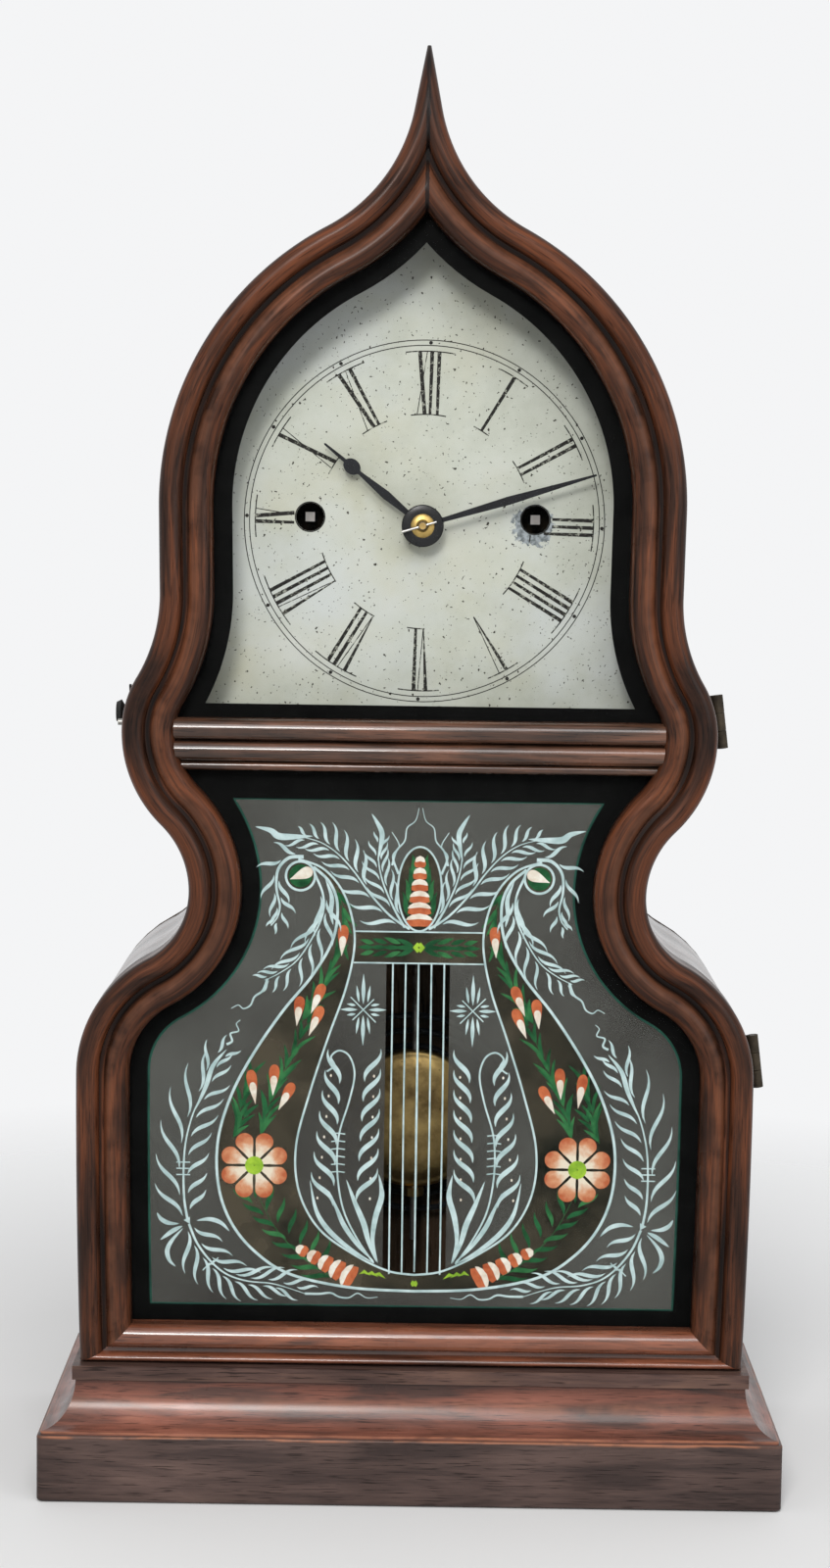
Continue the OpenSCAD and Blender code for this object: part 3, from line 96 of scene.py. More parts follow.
# %% [markdown]
# ## Helpers for materials
#
# Every finish is built from noise, so it has detail at any distance and needs no picture. These
# helpers wire a shader: they link or set a socket, add a sum, mix two colours or make a ramp.

# %% Wiring a shader


def new_material(name):
    """A material with a principled shader wired to its output."""
    material = bpy.data.materials.new(name)
    material.use_nodes = True
    tree = material.node_tree
    tree.nodes.clear()
    output = tree.nodes.new("ShaderNodeOutputMaterial")
    shader = tree.nodes.new("ShaderNodeBsdfPrincipled")
    tree.links.new(shader.outputs["BSDF"], output.inputs["Surface"])
    return material, tree, shader


def plug(tree, socket, value):
    """Links a socket, or sets its value."""
    if hasattr(value, "is_linked"):
        tree.links.new(value, socket)
    elif isinstance(value, tuple) and socket.type == "RGBA":
        socket.default_value = (*value[:3], 1.0)
    else:
        socket.default_value = value


def calc(tree, operation, a, b=0.0):
    """One sum on two values."""
    node = tree.nodes.new("ShaderNodeMath")
    node.operation = operation
    plug(tree, node.inputs[0], a)
    plug(tree, node.inputs[1], b)
    return node.outputs[0]


def mix(tree, factor, a, b, blend="MIX"):
    """Two colours mixed by a factor."""
    node = tree.nodes.new("ShaderNodeMix")
    node.data_type = "RGBA"
    node.blend_type = blend
    plug(tree, node.inputs[0], factor)
    plug(tree, node.inputs[6], a)
    plug(tree, node.inputs[7], b)
    return node.outputs[2]


# %% [markdown]
# ## Ramps and places
#
# A ramp turns the even grey of a pattern into colours, or into an edge. A bent piece carries
# coordinates of its own that run along the grain, so that its pattern follows the bend.

# %% Ramps and places


def ramp(tree, value, *stops):
    """A colour ramp; each stop is (place, colour), and a plain number stands for a grey."""
    node = tree.nodes.new("ShaderNodeValToRGB")
    elements = node.color_ramp.elements
    while len(elements) < len(stops):
        elements.new(0.5)
    for element, (place, colour) in zip(elements, stops):
        element.position = place
        element.color = (*colour, 1.0) if isinstance(colour, tuple) else (*[colour] * 3, 1.0)
    tree.links.new(value, node.inputs["Fac"])
    return node.outputs["Color"]


def place_of(tree, source="Object"):
    """Where a point is: in the object's own frame, or along the grain of a bent piece."""
    if source == "Object":
        return tree.nodes.new("ShaderNodeTexCoord").outputs["Object"]
    node = tree.nodes.new("ShaderNodeAttribute")
    node.attribute_name = source
    return node.outputs["Vector"]


def stretched(tree, vector, scale):
    """Coordinates scaled on each axis, so that a pattern is drawn out along the smallest scale."""
    node = tree.nodes.new("ShaderNodeMapping")
    node.inputs["Scale"].default_value = scale
    tree.links.new(vector, node.inputs["Vector"])
    return node.outputs["Vector"]


def axes(tree, vector):
    """The three coordinates of a vector, one by one."""
    node = tree.nodes.new("ShaderNodeSeparateXYZ")
    tree.links.new(vector, node.inputs[0])
    return node.outputs


# %% [markdown]
# ## Patterns
#
# Clouds and grain come from fractal noise, and flecks from the cells of a scattered pattern. Both
# read the place in the object, so they stay where they are when the camera moves.

# %% Patterns
DOT_SPREAD = 2.4  # a higher power leaves more small dots for each large one


def noise(tree, vector, scale=1.0, detail=4.0, roughness=0.55, distortion=0.0):
    """Clouds of a scale; more detail and roughness give them finer edges."""
    node = tree.nodes.new("ShaderNodeTexNoise")
    for socket, value in (("Scale", scale), ("Detail", detail), ("Roughness", roughness),
                          ("Distortion", distortion)):
        node.inputs[socket].default_value = value
    tree.links.new(vector, node.inputs["Vector"])
    return node.outputs[0]


def speckle(tree, vector, scale, size):
    """Round dots of uneven size, one in each cell of a scattered pattern."""
    node = tree.nodes.new("ShaderNodeTexVoronoi")
    node.inputs["Scale"].default_value = scale
    tree.links.new(vector, node.inputs["Vector"])
    split = tree.nodes.new("ShaderNodeSeparateColor")
    tree.links.new(node.outputs["Color"], split.inputs[0])
    radius = calc(tree, "MULTIPLY", calc(tree, "POWER", split.outputs[0], DOT_SPREAD), size)
    return calc(tree, "LESS_THAN", node.outputs["Distance"], radius)


def shaken(tree, vector, scale, amount):
    """Coordinates shifted by noise, so that a pattern on them loses its even shape."""
    node = tree.nodes.new("ShaderNodeTexNoise")
    node.inputs["Scale"].default_value = scale
    tree.links.new(vector, node.inputs["Vector"])
    shift = tree.nodes.new("ShaderNodeVectorMath")
    shift.operation = "MULTIPLY_ADD"
    tree.links.new(node.outputs["Color"], shift.inputs[0])
    shift.inputs[1].default_value = (amount, amount, amount)
    tree.links.new(vector, shift.inputs[2])
    return shift.outputs["Vector"]


# %% [markdown]
# ## Shine and relief
#
# What tells polish from paint is how rough a surface is and how fine its relief, so each finish
# below ends with these. The last helper blackens a finish: dirt on the door's peak, and painted
# shade on the winding arbors, which lie in the dark of the movement.

# %% Shine and relief
# Near-black that veil mixes in: dirt at the door's peak, painted shade on the winding arbors.
DIRT_AND_SHADE_BLACK = (0.006, 0.006, 0.006)


def bump(tree, shader, height, strength, distance):
    """Relief from a pattern; the distance is in metres."""
    node = tree.nodes.new("ShaderNodeBump")
    node.inputs["Strength"].default_value = strength
    node.inputs["Distance"].default_value = distance
    tree.links.new(height, node.inputs["Height"])
    tree.links.new(node.outputs["Normal"], shader.inputs["Normal"])


def gloss(shader, roughness=None, coat=0.0, coat_roughness=0.1, specular=0.5, metallic=0.0):
    """The plain values of a shine."""
    if roughness is not None:
        shader.inputs["Roughness"].default_value = roughness
    shader.inputs["Coat Weight"].default_value = coat
    shader.inputs["Coat Roughness"].default_value = coat_roughness
    shader.inputs["Specular IOR Level"].default_value = specular
    shader.inputs["Metallic"].default_value = metallic


def veil(material, factor):
    """Blackens a finish by a factor from its own tree."""
    tree = material.node_tree
    base = tree.nodes["Principled BSDF"].inputs["Base Color"]
    tree.links.new(mix(tree, factor, base.links[0].from_socket, DIRT_AND_SHADE_BLACK), base)


# %% [markdown]
# ## The outline
#
# Door and case share one outline. Half of it is a chain of arcs that meet without a corner: a bowed
# foot, two S-curves at the waist, one at the neck, the acorn's side, and the hollow below the
# spire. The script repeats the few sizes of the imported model, because every moulding follows this
# line.

# %% Outline
FOOT_HW, DOOR_Z = 114.5, 44.6
LOWER = (116.2, 145.0, 45.4)
WAIST = (78.0, 208.4, 31.8)
MIDDLE = (101.1, 263.1, 35.9)
NECK = (88.4, 309.5)
ACORN_X, ACORN_Z, ACORN_R, ACORN_TURN = 88.9, 340.3, 104.9, math.radians(62.0)
CAP_R, SPIRE_SLOPE, SPIRE_TIP = 55.8, math.radians(11.0), 0.66
SPIRE_STEPS = 6


def s_curve(p, q, r0, steps):
    """Points of an S from one upright tangent to the next."""
    side = 1 if q[0] > p[0] else -1
    dx, dz = abs(q[0] - p[0]), abs(q[1] - p[1])
    both = (dx * dx + dz * dz) / (2 * dx)
    r1 = both - r0
    swing = math.acos((both - dx) / both)
    turns = [swing * i / steps for i in range(steps + 1)]
    first = [(p[0] + side * r0 * (1 - math.cos(a)), p[1] + r0 * math.sin(a)) for a in turns[:-1]]
    second = [(q[0] - side * r1 * (1 - math.cos(a)), q[1] - r1 * math.sin(a))
              for a in turns[:0:-1]]
    return first + second


def outline(steps, below=0.0):
    """One side of the door from its foot to the tip of the spire, as (x, z)."""
    rise, belly = LOWER[1] - DOOR_Z, LOWER[0] - FOOT_HW
    bow = (rise ** 2 + belly ** 2) / (2 * belly)
    points = [(FOOT_HW, DOOR_Z - below)] if below else []
    for i in range(steps):
        drop = rise * (1 - i / steps)
        points.append((LOWER[0] - bow + math.sqrt(bow * bow - drop * drop), LOWER[1] - drop))
    for start, end in ((LOWER, WAIST), (WAIST, MIDDLE), (MIDDLE, NECK)):
        points += s_curve(start[:2], end[:2], start[2], steps)
    points.append(NECK)
    for i in range(2 * steps):
        a = ACORN_TURN * i / (2 * steps)
        points.append((ACORN_X - ACORN_R * (1 - math.cos(a)), ACORN_Z + ACORN_R * math.sin(a)))
    x = ACORN_X - ACORN_R * (1 - math.cos(ACORN_TURN))
    z = ACORN_Z + ACORN_R * math.sin(ACORN_TURN)
    for i in range(steps + 1):
        a = ACORN_TURN + (SPIRE_SLOPE - ACORN_TURN) * i / steps
        points.append((x - CAP_R * (math.cos(a) - math.cos(ACORN_TURN)),
                       z + CAP_R * (math.sin(ACORN_TURN) - math.sin(a))))
    x, z = points[-1]
    rise = (x - SPIRE_TIP) / math.tan(SPIRE_SLOPE)
    return points + [(x + (SPIRE_TIP - x) * i / SPIRE_STEPS, z + rise * i / SPIRE_STEPS)
                     for i in range(1, SPIRE_STEPS + 1)]


EDGE = outline(24)
print("height of the outline:", round(EDGE[-1][1], 1))

# %% [markdown]
# ## Measures of the outline
#
# The mouldings, the glasses and their paint need the outline at some distance inside its edge, or
# its half width at a height. These helpers measure it, so nothing else repeats the arcs.

# %% Measures of the outline


def edge_x(z):
    """Half width of the door at a height."""
    for (xa, za), (xb, zb) in zip(EDGE, EDGE[1:]):
        if za <= z < zb:
            return xa + (xb - xa) * (z - za) / (zb - za)
    return EDGE[0][0] if z < EDGE[0][1] else 0.0


def inward(points):
    """The unit direction into the door at each point of a side."""
    result = []
    for i in range(len(points)):
        (ax, az), (bx, bz) = points[max(i - 1, 0)], points[min(i + 1, len(points) - 1)]
        length = math.hypot(bx - ax, bz - az)
        result.append(((az - bz) / length, (bx - ax) / length))
    return result


def drawn_in(distance, low, high, steps=16):
    """One side of the outline drawn in by a distance, between two heights."""
    points = outline(steps, below=60.0)
    moved = [(x + nx * distance, z + nz * distance)
             for (x, z), (nx, nz) in zip(points, inward(points))]
    result = []
    for (xa, za), (xb, zb) in zip(moved, moved[1:]):
        if zb <= za:
            continue
        for level_z in (low, high):
            if za < level_z <= zb:
                result.append((xa + (xb - xa) * (level_z - za) / (zb - za), level_z))
        if xa > 0 >= xb:
            result.append((0.0, za + (zb - za) * xa / (xa - xb)))
            break
        if low < zb < high:
            result.append((xb, zb))
    return [p for p in result if low <= p[1] <= high]


print("half width at the waist:", round(edge_x(WAIST[1]), 1))

# %% [markdown]
# ## Swept bars
#
# A moulding is one section, pushed along a path. Starting from a closed loop of edges, each
# extrusion adds the next stretch, and every point keeps how far it lies along and across the piece.
# The wood material reads those two lengths, so its grain follows the bend.

# %% Swept bars
MERGE = 0.0000002  # points that are closer than this, in metres, are one


def to_mesh(bm, name):
    """Turns a bmesh into a mesh and frees it."""
    mesh = bpy.data.meshes.new(name)
    bm.to_mesh(mesh)
    bm.free()
    return mesh


def arc(cx, cy, r, start, end, steps):
    """Points of an arc; the angles are in degrees."""
    turns = [math.radians(start + (end - start) * i / steps) for i in range(steps + 1)]
    return [(cx + r * math.cos(a), cy + r * math.sin(a)) for a in turns]


def circle(centre, rx, count, rz=None):
    """Points round a circle, or round an upright oval."""
    turns = [math.tau * i / count for i in range(count)]
    return [(centre[0] + rx * math.cos(a), centre[1] + (rz or rx) * math.sin(a)) for a in turns]


def lengths(points):
    """How far along its line each point lies."""
    result = [0.0]
    for a, b in zip(points, points[1:]):
        result.append(result[-1] + math.dist(a, b))
    return result


def sweep(name, rings, along, across):
    """A closed bar through loops of points in millimetres."""
    bm = bmesh.new()
    order = bm.verts.layers.int.new("order")
    grain = bm.verts.layers.float_vector.new("grain")
    loop = [bm.verts.new(Vector(p) * MM) for p in rings[0]]
    for i, vert in enumerate(loop):
        vert[order] = i
        vert[grain] = (along[0] * MM, across[i] * MM, 0)
    start = bm.faces.new(loop)
    edges = list(start.edges)
    for ring, run in zip(rings[1:], along[1:]):
        made = bmesh.ops.extrude_edge_only(bm, edges=edges)["geom"]
        edges = [g for g in made if isinstance(g, bmesh.types.BMEdge)]
        for vert in made:
            if isinstance(vert, bmesh.types.BMVert):
                vert.co = Vector(ring[vert[order]]) * MM
                vert[grain] = (run * MM, across[vert[order]] * MM, 0)
    bmesh.ops.contextual_create(bm, geom=edges)
    bmesh.ops.remove_doubles(bm, verts=bm.verts, dist=MERGE)
    bmesh.ops.recalc_face_normals(bm, faces=bm.faces)
    return to_mesh(bm, name)


# %% [markdown]
# ## Cuts and mirror images
#
# Mitres are sawn after the sweep: a plane parts the bar, and the open end is filled. The right half
# of a pair is made first, and a negative scale makes the left one, whose normals are then
# recalculated.

# %% Cuts and mirror images
CUT_REACH = 0.000001  # points that are closer than this to a cut, in metres, lie on it


def cut(mesh, point, away):
    """Cuts off what lies beyond a plane and closes the cut."""
    bm = bmesh.new()
    bm.from_mesh(mesh)
    geometry = list(bm.verts) + list(bm.edges) + list(bm.faces)
    made = bmesh.ops.bisect_plane(bm, geom=geometry, dist=CUT_REACH, clear_outer=True,
                                  plane_co=Vector(point) * MM, plane_no=Vector(away))["geom_cut"]
    edges = [g for g in made if isinstance(g, bmesh.types.BMEdge)]
    bmesh.ops.holes_fill(bm, edges=edges, sides=0)
    bm.to_mesh(mesh)
    bm.free()
    return mesh


def mirrored(mesh, name):
    """The same piece on the other side of the clock."""
    bm = bmesh.new()
    bm.from_mesh(mesh)
    bmesh.ops.scale(bm, vec=(-1, 1, 1), verts=bm.verts)
    bmesh.ops.recalc_face_normals(bm, faces=bm.faces)
    return to_mesh(bm, name)


# %% [markdown]
# ## Films and turned pieces
#
# Paint is a flat area between outlines, filled with triangles and given a thickness of a few
# hundredths of a millimetre. Round pieces come from the lathe: half a section, spun about its axis.

# %% Films and turned pieces
PAINT_T = 0.012
LATHE_MERGE = 0.00001


def film(name, outer, holes, y, thick=PAINT_T):
    """A thin flat sheet between an outer line and its holes, given as (x, z); y is its front."""
    bm = bmesh.new()
    edges = []
    for line in [outer, *holes]:
        verts = [bm.verts.new((x * MM, y * MM, z * MM)) for x, z in line]
        edges += [bm.edges.new(pair) for pair in zip(verts, verts[1:] + verts[:1])]
    faces = [g for g in bmesh.ops.triangle_fill(bm, use_beauty=True, edges=edges)["geom"]
             if isinstance(g, bmesh.types.BMFace)]
    made = bmesh.ops.extrude_face_region(bm, geom=faces)["geom"]
    bmesh.ops.translate(bm, vec=(0, thick * MM, 0),
                        verts=[g for g in made if isinstance(g, bmesh.types.BMVert)])
    bmesh.ops.recalc_face_normals(bm, faces=bm.faces)
    return to_mesh(bm, name)


def turned(name, profile, centre, steps=64):
    """A piece turned about a line along Y; the profile is (radius, y)."""
    bm = bmesh.new()
    x, z = centre
    verts = [bm.verts.new(((x + r) * MM, y * MM, z * MM)) for r, y in profile]
    edges = [bm.edges.new(pair) for pair in zip(verts, verts[1:])]
    bmesh.ops.spin(bm, geom=edges, cent=(x * MM, 0, z * MM), axis=(0, 1, 0), angle=math.tau,
                   steps=steps, use_merge=True)
    bmesh.ops.remove_doubles(bm, verts=bm.verts, dist=LATHE_MERGE)
    bmesh.ops.recalc_face_normals(bm, faces=bm.faces)
    return to_mesh(bm, name)


# %% [markdown]
# ## Placing a piece
#
# Each finished mesh gets its material and the body that it rides on. Where it takes the place of
# imported pieces, those are named and hidden.

# %% Placing a piece


def piece(name, mesh, material, body, stands_for=(), crease=40):
    """Places a mesh as a piece of the clock, shaded smooth up to its creases."""
    obj = bpy.data.objects.new(name, mesh)
    bpy.context.scene.collection.objects.link(obj)
    obj.data.materials.append(material)
    bm = bmesh.new()
    bm.from_mesh(mesh)
    for face in bm.faces:
        face.smooth = True
    sharp = math.radians(crease)
    for edge in bm.edges:
        edge.smooth = len(edge.link_faces) == 2 and edge.calc_face_angle(0) < sharp
    bm.to_mesh(mesh)
    bm.free()
    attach(obj, body)
    if stands_for:
        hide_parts(*stands_for)
    print(f"{name}: {len(mesh.polygons)} faces")


def pair(name, right_half, look, body, node):
    """A bent board on the right and its mirror image; {} in the names stands for the side."""
    left_half = mirrored(right_half, name.format("left"))
    for side, mesh in (("left", left_half), ("right", right_half)):
        piece(name.format(side), mesh, look, body, [node.format(side)])


# %% [markdown]
# ## Wood
#
# Old rosewood-like veneer and stained mahogany: dark and light streaks along the grain, a slower
# change of tone across the board, fine dark pores, and a worn polish. In the hollows of a moulding
# the material darkens at given distances across the section, as painted shade. Lighter bands are
# worn to bare wood, and on the crest of the stiles' inner bead they are also a painted highlight.

# %% Wood
GRAIN_SCALE = {"X": (34, 620, 620), "Y": (620, 34, 620), "Z": (620, 620, 34), "grain": (34, 760, 1)}
FINE_SHARE, SLOW_SHARE = 0.42, 0.58
WANDER = 0.022
ACROSS_SPAN = 100.0
# Lighter wood of the rubbed bands: wear, and on the stiles' inner bead also a painted highlight.
RUBBED_AND_LIT = (0.40, 0.155, 0.080)


def wood(name, colours, along="X", shine=0.3, shade_bands=(), coat=0.08, streak=1.0, rubbed_and_lit=(),
         polish=0.2):
    """Polished wood. Grain runs along an axis, or along the bend of a swept piece.

    The shade bands darken places across a swept piece as painted shade, in shares of the span
    across; the rubbed bands, (place, half width, share) in millimetres, lighten it towards bare
    wood: wear, and on a bead's crest a painted highlight.
    """
    material, tree, shader = new_material(name)
    vector = place_of(tree, "grain" if along == "grain" else "Object")
    scale = GRAIN_SCALE[along]
    wide = tuple(0.16 * c if c > 100 else 0.5 * c for c in scale)
    fine = noise(tree, stretched(tree, vector, scale), 1.0, 5.0, 0.62, 0.4)
    slow = noise(tree, stretched(tree, vector, wide), 1.0, 4.0, 0.55, 0.8)
    cloud = noise(tree, vector, 17.0, 2.0, 0.5)
    tone = calc(tree, "ADD", calc(tree, "MULTIPLY", fine, FINE_SHARE * streak),
                calc(tree, "MULTIPLY", slow, SLOW_SHARE))
    dark, middle, light = colours
    colour = ramp(tree, tone, (0.33, dark), (0.47, middle), (0.66, light))
    colour = mix(tree, 1.0, colour, ramp(tree, cloud, (0.32, 0.62), (0.66, 1.15)), "MULTIPLY")
    pores = noise(tree, stretched(tree, vector, tuple(2.6 * c for c in scale)), 1.0, 2.0, 0.5)
    colour = mix(tree, 1.0, colour, ramp(tree, pores, (0.33, 0.35), (0.42, 1.0)), "MULTIPLY")
    worn = noise(tree, vector, 60.0, 3.0, 0.6)
    if shade_bands or rubbed_and_lit:
        wander = calc(tree, "MULTIPLY", calc(tree, "SUBTRACT", slow, 0.5), WANDER)
        share = calc(tree, "DIVIDE", axes(tree, vector)[1], ACROSS_SPAN * MM)
        across = calc(tree, "ADD", share, wander)
    # Lighter bands: wear to bare wood, and on a bead's crest a painted highlight.
    for place, half_width, bare in rubbed_and_lit:
        off = calc(tree, "ABSOLUTE", calc(tree, "SUBTRACT", across, place / ACROSS_SPAN))
        mask = ramp(tree, off, (0.3 * half_width / ACROSS_SPAN, bare), (half_width / ACROSS_SPAN, 0.0))
        mask = calc(tree, "MULTIPLY", mask, ramp(tree, worn, (0.38, 0.15), (0.56, 1.0)))
        colour = mix(tree, mask, colour, RUBBED_AND_LIT)
    # Painted shade: bands across the section darken its hollows.
    if shade_bands:
        colour = mix(tree, 1.0, colour, ramp(tree, across, *shade_bands), "MULTIPLY")
    tree.links.new(colour, shader.inputs["Base Color"])
    tree.links.new(ramp(tree, worn, (0.3, shine * 0.75), (0.7, shine * 1.5)),
                   shader.inputs["Roughness"])
    gloss(shader, coat=coat, coat_roughness=polish, specular=0.11)
    bump(tree, shader, fine, 0.25, 0.00012)
    return material


ROSEWOOD = ((0.0068, 0.0038, 0.0028), (0.040, 0.0165, 0.0098), (0.160, 0.050, 0.021))
RED_WOOD = ((0.085, 0.042, 0.033), (0.235, 0.086, 0.058), (0.400, 0.165, 0.108))
MID_WOOD = ((0.013, 0.009, 0.007), (0.070, 0.034, 0.021), (0.200, 0.082, 0.046))
RAIL_WOOD = ((0.085, 0.034, 0.021), (0.250, 0.082, 0.042), (0.400, 0.150, 0.080))
PLINTH_WOOD = ((0.050, 0.034, 0.031), (0.095, 0.062, 0.054), (0.150, 0.098, 0.082))
BOARD_WOOD = ((0.030, 0.018, 0.016), (0.085, 0.050, 0.042), (0.150, 0.085, 0.062))
PINE = ((0.035, 0.020, 0.012), (0.065, 0.040, 0.024), (0.100, 0.064, 0.040))

plinth_front_look = wood("plinth_veneer", PLINTH_WOOD, "X", 0.34)
plinth_side_look = wood("plinth_side_veneer", PLINTH_WOOD, "Y", 0.34)
cove_front_look = wood("cove_veneer", RED_WOOD, "X", 0.34)
cove_side_look = wood("cove_side_veneer", RED_WOOD, "Y", 0.34)
board_look = wood("board_wood", BOARD_WOOD, "X", 0.36)
case_look = wood("case_veneer", ROSEWOOD, "grain", 0.20, coat=0.5)
pine_look = wood("aged_pine", PINE, "Z", 0.8, coat=0.0)
print("finishes so far:", len(bpy.data.materials))

# %% [markdown]
# ## Metal
#
# Sheet brass that has gone brown in clouds, dull iron, bright filed steel, and the blued steel of
# the hands. The clouds change the roughness too, because old metal never shines evenly.

# %% Metal


def metal(name, bright, dull, shine, spots=0.0, metallic=1.0, brushed=(1, 1, 1), specular=0.5):
    """Old metal: bright where it is rubbed, dull in clouds, spotted if asked."""
    material, tree, shader = new_material(name)
    vector = place_of(tree)
    cloud = noise(tree, vector, 95.0, 4.0, 0.62)
    colour = ramp(tree, cloud, (0.34, dull), (0.62, bright))
    if spots:
        mask = speckle(tree, vector, 420.0, spots)
        colour = mix(tree, mask, colour, tuple(0.25 * c for c in dull))
    tree.links.new(colour, shader.inputs["Base Color"])
    tree.links.new(ramp(tree, cloud, (0.3, min(1.0, shine * 1.9)), (0.68, shine)),
                   shader.inputs["Roughness"])
    gloss(shader, metallic=metallic, specular=specular)
    bump(tree, shader, noise(tree, stretched(tree, vector, brushed), 260.0, 3.0), 0.2, 0.00004)
    return material


brass = metal("old_brass", (0.42, 0.29, 0.11), (0.13, 0.085, 0.035), 0.34, 0.16)
dark_brass = metal("brown_brass", (0.050, 0.036, 0.020), (0.016, 0.012, 0.008), 0.5, 0.1,
                   metallic=0.5)
bright_brass = metal("rubbed_brass", (0.78, 0.56, 0.22), (0.42, 0.28, 0.10), 0.2)
steel = metal("old_steel", (0.30, 0.29, 0.27), (0.10, 0.08, 0.065), 0.36, 0.12)
bright_steel = metal("filed_steel", (0.66, 0.65, 0.62), (0.34, 0.33, 0.31), 0.26)
blued_steel = metal("blued_steel", (0.014, 0.015, 0.018), (0.008, 0.008, 0.009), 0.34,
                    metallic=0.0, specular=0.15)
# The movement's plates are nearly black: painted shade for the dark seen through the winding holes.
shaded_plate_brass = metal("shaded_plate_brass", (0.020, 0.015, 0.009), (0.007, 0.005, 0.004), 0.7,
                    metallic=0.2, specular=0.05)
arbor_steel = metal("arbor_steel", (0.340, 0.325, 0.310), (0.200, 0.190, 0.180), 0.6,
                    metallic=0.0, specular=0.05)
collar_black = metal("collar_black", (0.014, 0.014, 0.015), (0.008, 0.008, 0.008), 0.2,
                     metallic=0.0, specular=0.25)
iron = metal("black_iron", (0.022, 0.021, 0.020), (0.010, 0.010, 0.010), 0.45, metallic=0.5)

SQUARE_BACK = -11.5  # behind this the winding arbors lie in the dark of the movement
# Painted shade: behind SQUARE_BACK the arbors are blackened, as they lie in the movement's dark.
tree = arbor_steel.node_tree
shade_behind = calc(tree, "GREATER_THAN", axes(tree, place_of(tree))[1], SQUARE_BACK * MM)
veil(arbor_steel, shade_behind)
print("finishes so far:", len(bpy.data.materials))

# %% [markdown]
# ## Paint and glass
#
# Paint is a thin dull film: a clouded colour with slight brush relief. Each glass is nearly clear,
# and a film of paint behind it gives the colour, as on the real door.

# %% Paint and glass
GLASS_TINT, GLASS_ALPHA = (0.012, 0.016, 0.015), 0.02


def paint(name, thin, full, rough=0.5, scale=90.0, specular=0.3, alpha=1.0, relief=0.1):
    """Brushed paint between a thin and a full tone."""
    material, tree, shader = new_material(name)
    cloud = noise(tree, place_of(tree), scale, 5.0, 0.62, 0.3)
    tree.links.new(ramp(tree, cloud, (0.34, thin), (0.64, full)), shader.inputs["Base Color"])
    gloss(shader, rough, specular=specular)
    shader.inputs["Alpha"].default_value = alpha
    bump(tree, shader, cloud, relief, 0.00008)
    return material


def glass(name):
    """Old glass: nearly clear, a little wavy."""
    material, tree, shader = new_material(name)
    wave = noise(tree, place_of(tree), 14.0, 2.0, 0.5)
    tree.links.new(ramp(tree, wave, (0.2, tuple(0.8 * c for c in GLASS_TINT)), (0.8, GLASS_TINT)),
                   shader.inputs["Base Color"])
    gloss(shader, 0.3, specular=0.1)
    shader.inputs["Alpha"].default_value = GLASS_ALPHA
    bump(tree, shader, wave, 0.1, 0.0005)
    return material


clear_glass, tablet_glass = glass("old_clear_glass"), glass("old_tablet_glass")
black_paint = paint("black_border_paint", (0.0026, 0.0026, 0.0026), (0.0048, 0.0048, 0.0047),
                    specular=0.02, relief=0.0)
line_paint = paint("dark_green_paint", (0.008, 0.040, 0.028), (0.018, 0.085, 0.060), specular=0.1)
smoke_paint = paint("smoke_ground_paint", (0.058, 0.056, 0.050), (0.124, 0.128, 0.116),
                    rough=0.6, scale=10.0, specular=0.1, alpha=0.62, relief=0.0)
dark_ground = paint("dark_ground_paint", (0.009, 0.011, 0.008), (0.082, 0.070, 0.048),
                    rough=0.6, scale=26.0, specular=0.05, alpha=0.84, relief=0.0)
STROKE_PAINTS = {}
for colour, name, thin, full, scale, specular in (
        ("pale", "pale_blue_paint", (0.33, 0.46, 0.46), (0.56, 0.70, 0.70), 160.0, 0.2),
        ("cream", "cream_paint", (0.62, 0.52, 0.41), (0.80, 0.78, 0.69), 260.0, 0.2),
        ("lime", "lime_paint", (0.17, 0.33, 0.02), (0.34, 0.54, 0.04), 260.0, 0.2),
        ("orange", "orange_paint", (0.34, 0.068, 0.022), (0.54, 0.150, 0.056), 260.0, 0.2),
        ("light_leaf", "light_leaf_paint", (0.012, 0.085, 0.028), (0.04, 0.18, 0.06), 200.0, 0.1),
        ("leaf", "leaf_green_paint", (0.006, 0.046, 0.016), (0.018, 0.115, 0.040), 200.0, 0.1)):
    STROKE_PAINTS[colour] = paint(name, thin, full, scale=scale, specular=specular)
print("finishes so far:", len(bpy.data.materials))

# %% [markdown]
# ## The dial's paint
#
# White lead over zinc, gone greenish and yellowed in clouds, with chalky patches. Small dark flecks
# show where it has lifted, and round the right winding hole the key has scraped it down to bare
# metal.

# %% Dial paint
DIAL_CENTRE = (0.0, 333.5)
DIAL_FRONT = box_mm("dial_plate")[0][1]
RIGHT_HOLE = (39.0, 336.0)
SCRAPED = (RIGHT_HOLE[0] - 0.6, RIGHT_HOLE[1] - 1.8)
SCRAPED_R, SCRAPED_EDGE = 11.2, 5.7
FLECKS = ((85.0, 0.045), (170.0, 0.075), (340.0, 0.14), (520.0, 0.21), (900.0, 0.25))


def near(tree, vector, centre, reach, ragged):
    """1 close to a point of the dial, 0 beyond its reach, with an edge that is ragged inwards."""
    node = tree.nodes.new("ShaderNodeVectorMath")
    node.operation = "DISTANCE"
    tree.links.new(vector, node.inputs[0])
    node.inputs[1].default_value = (centre[0] * MM, DIAL_FRONT * MM, centre[1] * MM)
    bites = calc(tree, "MULTIPLY", noise(tree, vector, 420.0, 4.0, 0.7), ragged * MM * 1.4)
    gap = calc(tree, "ADD", node.outputs["Value"], bites)
    return calc(tree, "LESS_THAN", gap, reach * MM)


